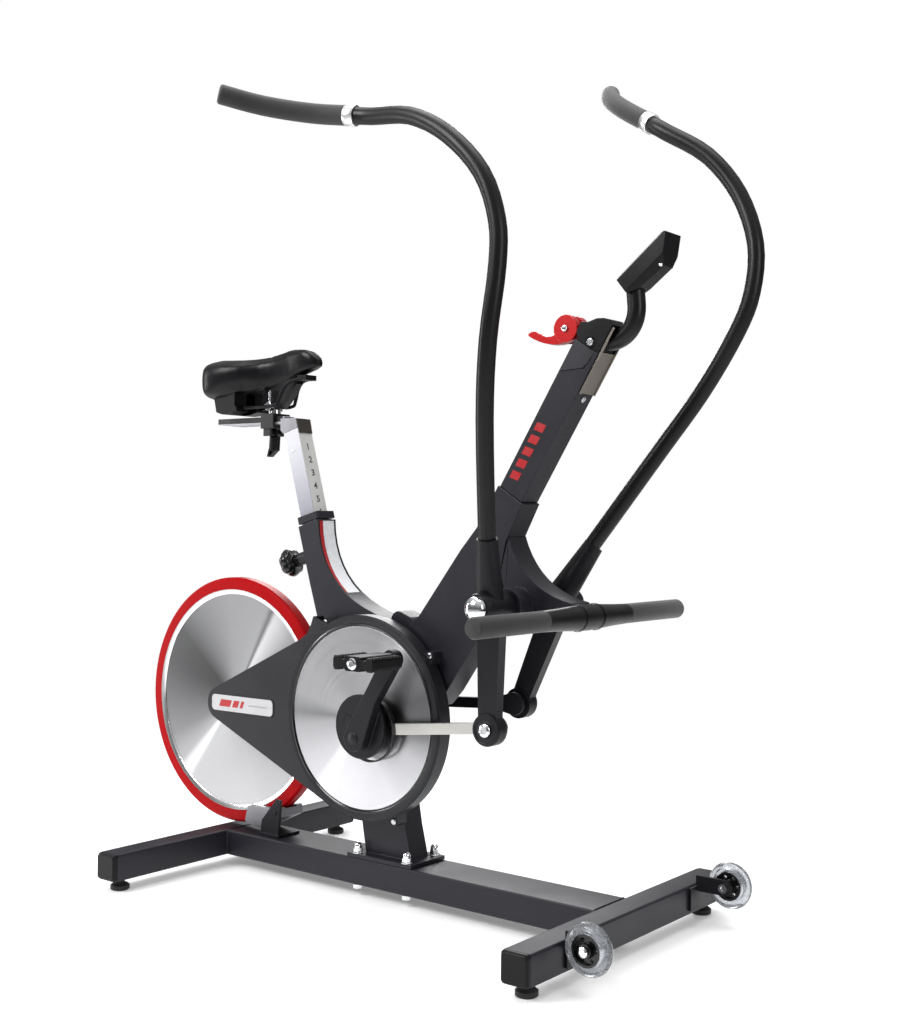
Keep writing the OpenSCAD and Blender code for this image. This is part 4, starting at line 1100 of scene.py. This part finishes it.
def floor():
    """A pale floor that fades into the backdrop."""
    mesh = bpy.data.meshes.new("floor")
    half = 6.0
    mesh.from_pydata([(-half, -half, 0), (half, -half, 0), (half, half, 0), (-half, half, 0)], [],
                     [(0, 1, 2, 3)])
    obj = bpy.data.objects.new("floor", mesh)
    bpy.context.scene.collection.objects.link(obj)
    s = Shader("pale_floor", (0.90, 0.90, 0.90), 0.6, Specular_IOR_Level=0.2)
    s.put("Base Color", s.mix(s.noise(3, 4), (0.88, 0.88, 0.88), (0.92, 0.92, 0.92)))
    s.put("Emission Color", (1, 1, 1, 1))
    s.put("Emission Strength", 0.22)
    distance = s.add("ShaderNodeVectorMath", operation="DISTANCE")
    s.feed(distance, 0, s.coords)
    s.feed(distance, 1, (0, 0, 0))
    clear = s.add("ShaderNodeBsdfTransparent")
    blend = s.add("ShaderNodeMixShader")
    s.feed(blend, 0, s.span(distance.outputs["Value"], 0.9, 2.6))
    s.feed(blend, 1, s.bsdf.outputs[0])
    s.feed(blend, 2, clear.outputs[0])
    s.tree.links.new(blend.outputs[0], s.tree.nodes["Material Output"].inputs["Surface"])
    mesh.materials.append(s.mat)


def world():
    """Bright above and below, darker at the horizon; the camera sees an even pale backdrop."""
    made = bpy.data.worlds.new("studio")
    bpy.context.scene.world = made
    made.use_nodes = True
    tree = made.node_tree
    tree.nodes.clear()
    coords = tree.nodes.new("ShaderNodeTexCoord")
    split = tree.nodes.new("ShaderNodeSeparateXYZ")
    ramp = tree.nodes.new("ShaderNodeValToRGB")
    shift = tree.nodes.new("ShaderNodeMapRange")
    shift.inputs["From Min"].default_value = -1
    shift.inputs["From Max"].default_value = 1
    tree.links.new(coords.outputs["Generated"], split.inputs[0])
    tree.links.new(split.outputs["Z"], shift.inputs["Value"])
    tree.links.new(shift.outputs[0], ramp.inputs[0])
    stops = [(0.0, 0.80), (0.40, 0.60), (0.49, 0.16), (0.56, 0.12), (0.72, 0.42), (1.0, 0.90)]
    elements = ramp.color_ramp.elements
    while len(elements) < len(stops):
        elements.new(0.5)
    for element, (at, level) in zip(elements, stops):
        element.position = at
        element.color = (level, level, level * 1.01, 1)
    lit = tree.nodes.new("ShaderNodeBackground")
    tree.links.new(ramp.outputs[0], lit.inputs["Color"])
    lit.inputs["Strength"].default_value = 0.9
    seen = tree.nodes.new("ShaderNodeBackground")
    seen.inputs["Color"].default_value = (1, 1, 1, 1)
    path = tree.nodes.new("ShaderNodeLightPath")
    blend = tree.nodes.new("ShaderNodeMixShader")
    tree.links.new(path.outputs["Is Camera Ray"], blend.inputs[0])
    tree.links.new(lit.outputs[0], blend.inputs[1])
    tree.links.new(seen.outputs[0], blend.inputs[2])
    out = tree.nodes.new("ShaderNodeOutputWorld")
    tree.links.new(blend.outputs[0], out.inputs[0])


def softbox(name, at, aim, size, watts):
    light = bpy.data.lights.new(name, "AREA")
    light.shape = "RECTANGLE"
    light.size, light.size_y = size
    light.energy = watts
    obj = bpy.data.objects.new(name, light)
    obj.location = at
    obj.rotation_mode = "QUATERNION"
    obj.rotation_quaternion = (Vector(aim) - Vector(at)).to_track_quat("-Z", "Y")
    bpy.context.scene.collection.objects.link(obj)


def lights():
    aim = (0.04, 0, 0.6)
    softbox("key", (-1.1, -2.7, 2.7), aim, (1.5, 1.5), 95)
    softbox("side", (3.2, -0.7, 1.6), aim, (0.9, 1.8), 22)
    softbox("back", (-2.0, 2.6, 2.4), aim, (1.6, 1.6), 60)
    softbox("strip", (-3.3, -1.6, 0.9), aim, (0.35, 2.2), 35)
    softbox("top", (0.1, 0.2, 3.6), aim, (2.6, 2.0), 55)


def camera():
    """The viewpoint, in front of the bike on its right side, at about saddle height."""
    yaw, pitch, roll = math.radians(38.17), math.radians(-0.08), math.radians(0.58)
    ahead = Vector((-math.sin(yaw) * math.cos(pitch), math.cos(yaw) * math.cos(pitch), -math.sin(pitch)))
    right = Vector((math.cos(yaw), math.sin(yaw), 0))
    up = right.cross(ahead)
    x = right * math.cos(roll) + up * math.sin(roll)
    y = up * math.cos(roll) - right * math.sin(roll)
    data = bpy.data.cameras.new("camera")
    data.lens = 47.89
    data.sensor_width = 36
    obj = bpy.data.objects.new("camera", data)
    turn = Matrix((x, y, -ahead)).transposed().to_4x4()
    obj.matrix_world = Matrix.Translation(place_mm(2096, -1956, 721)) @ turn
    bpy.context.scene.collection.objects.link(obj)
    bpy.context.scene.camera = obj


def build():
    for name in frame["nodes"]:
        dress_node(name)
    for side in SIDES:
        grip_trim(side)
        lever_boss(side)
        pedal_trim(side)
        crank_trim(side)
    foot_bar_trim()
    base_welds()
    washers()
    disc_trim()
    badge()
    mast_mark()
    mast_facets()
    seat_tube_decal()
    post_marks()
    console_face()
    small_screws()
    slide_cap()
    knob()
    saddle()
    floor()
    world()
    lights()
    camera()
    bpy.context.scene.view_settings.view_transform = "Standard"


build()
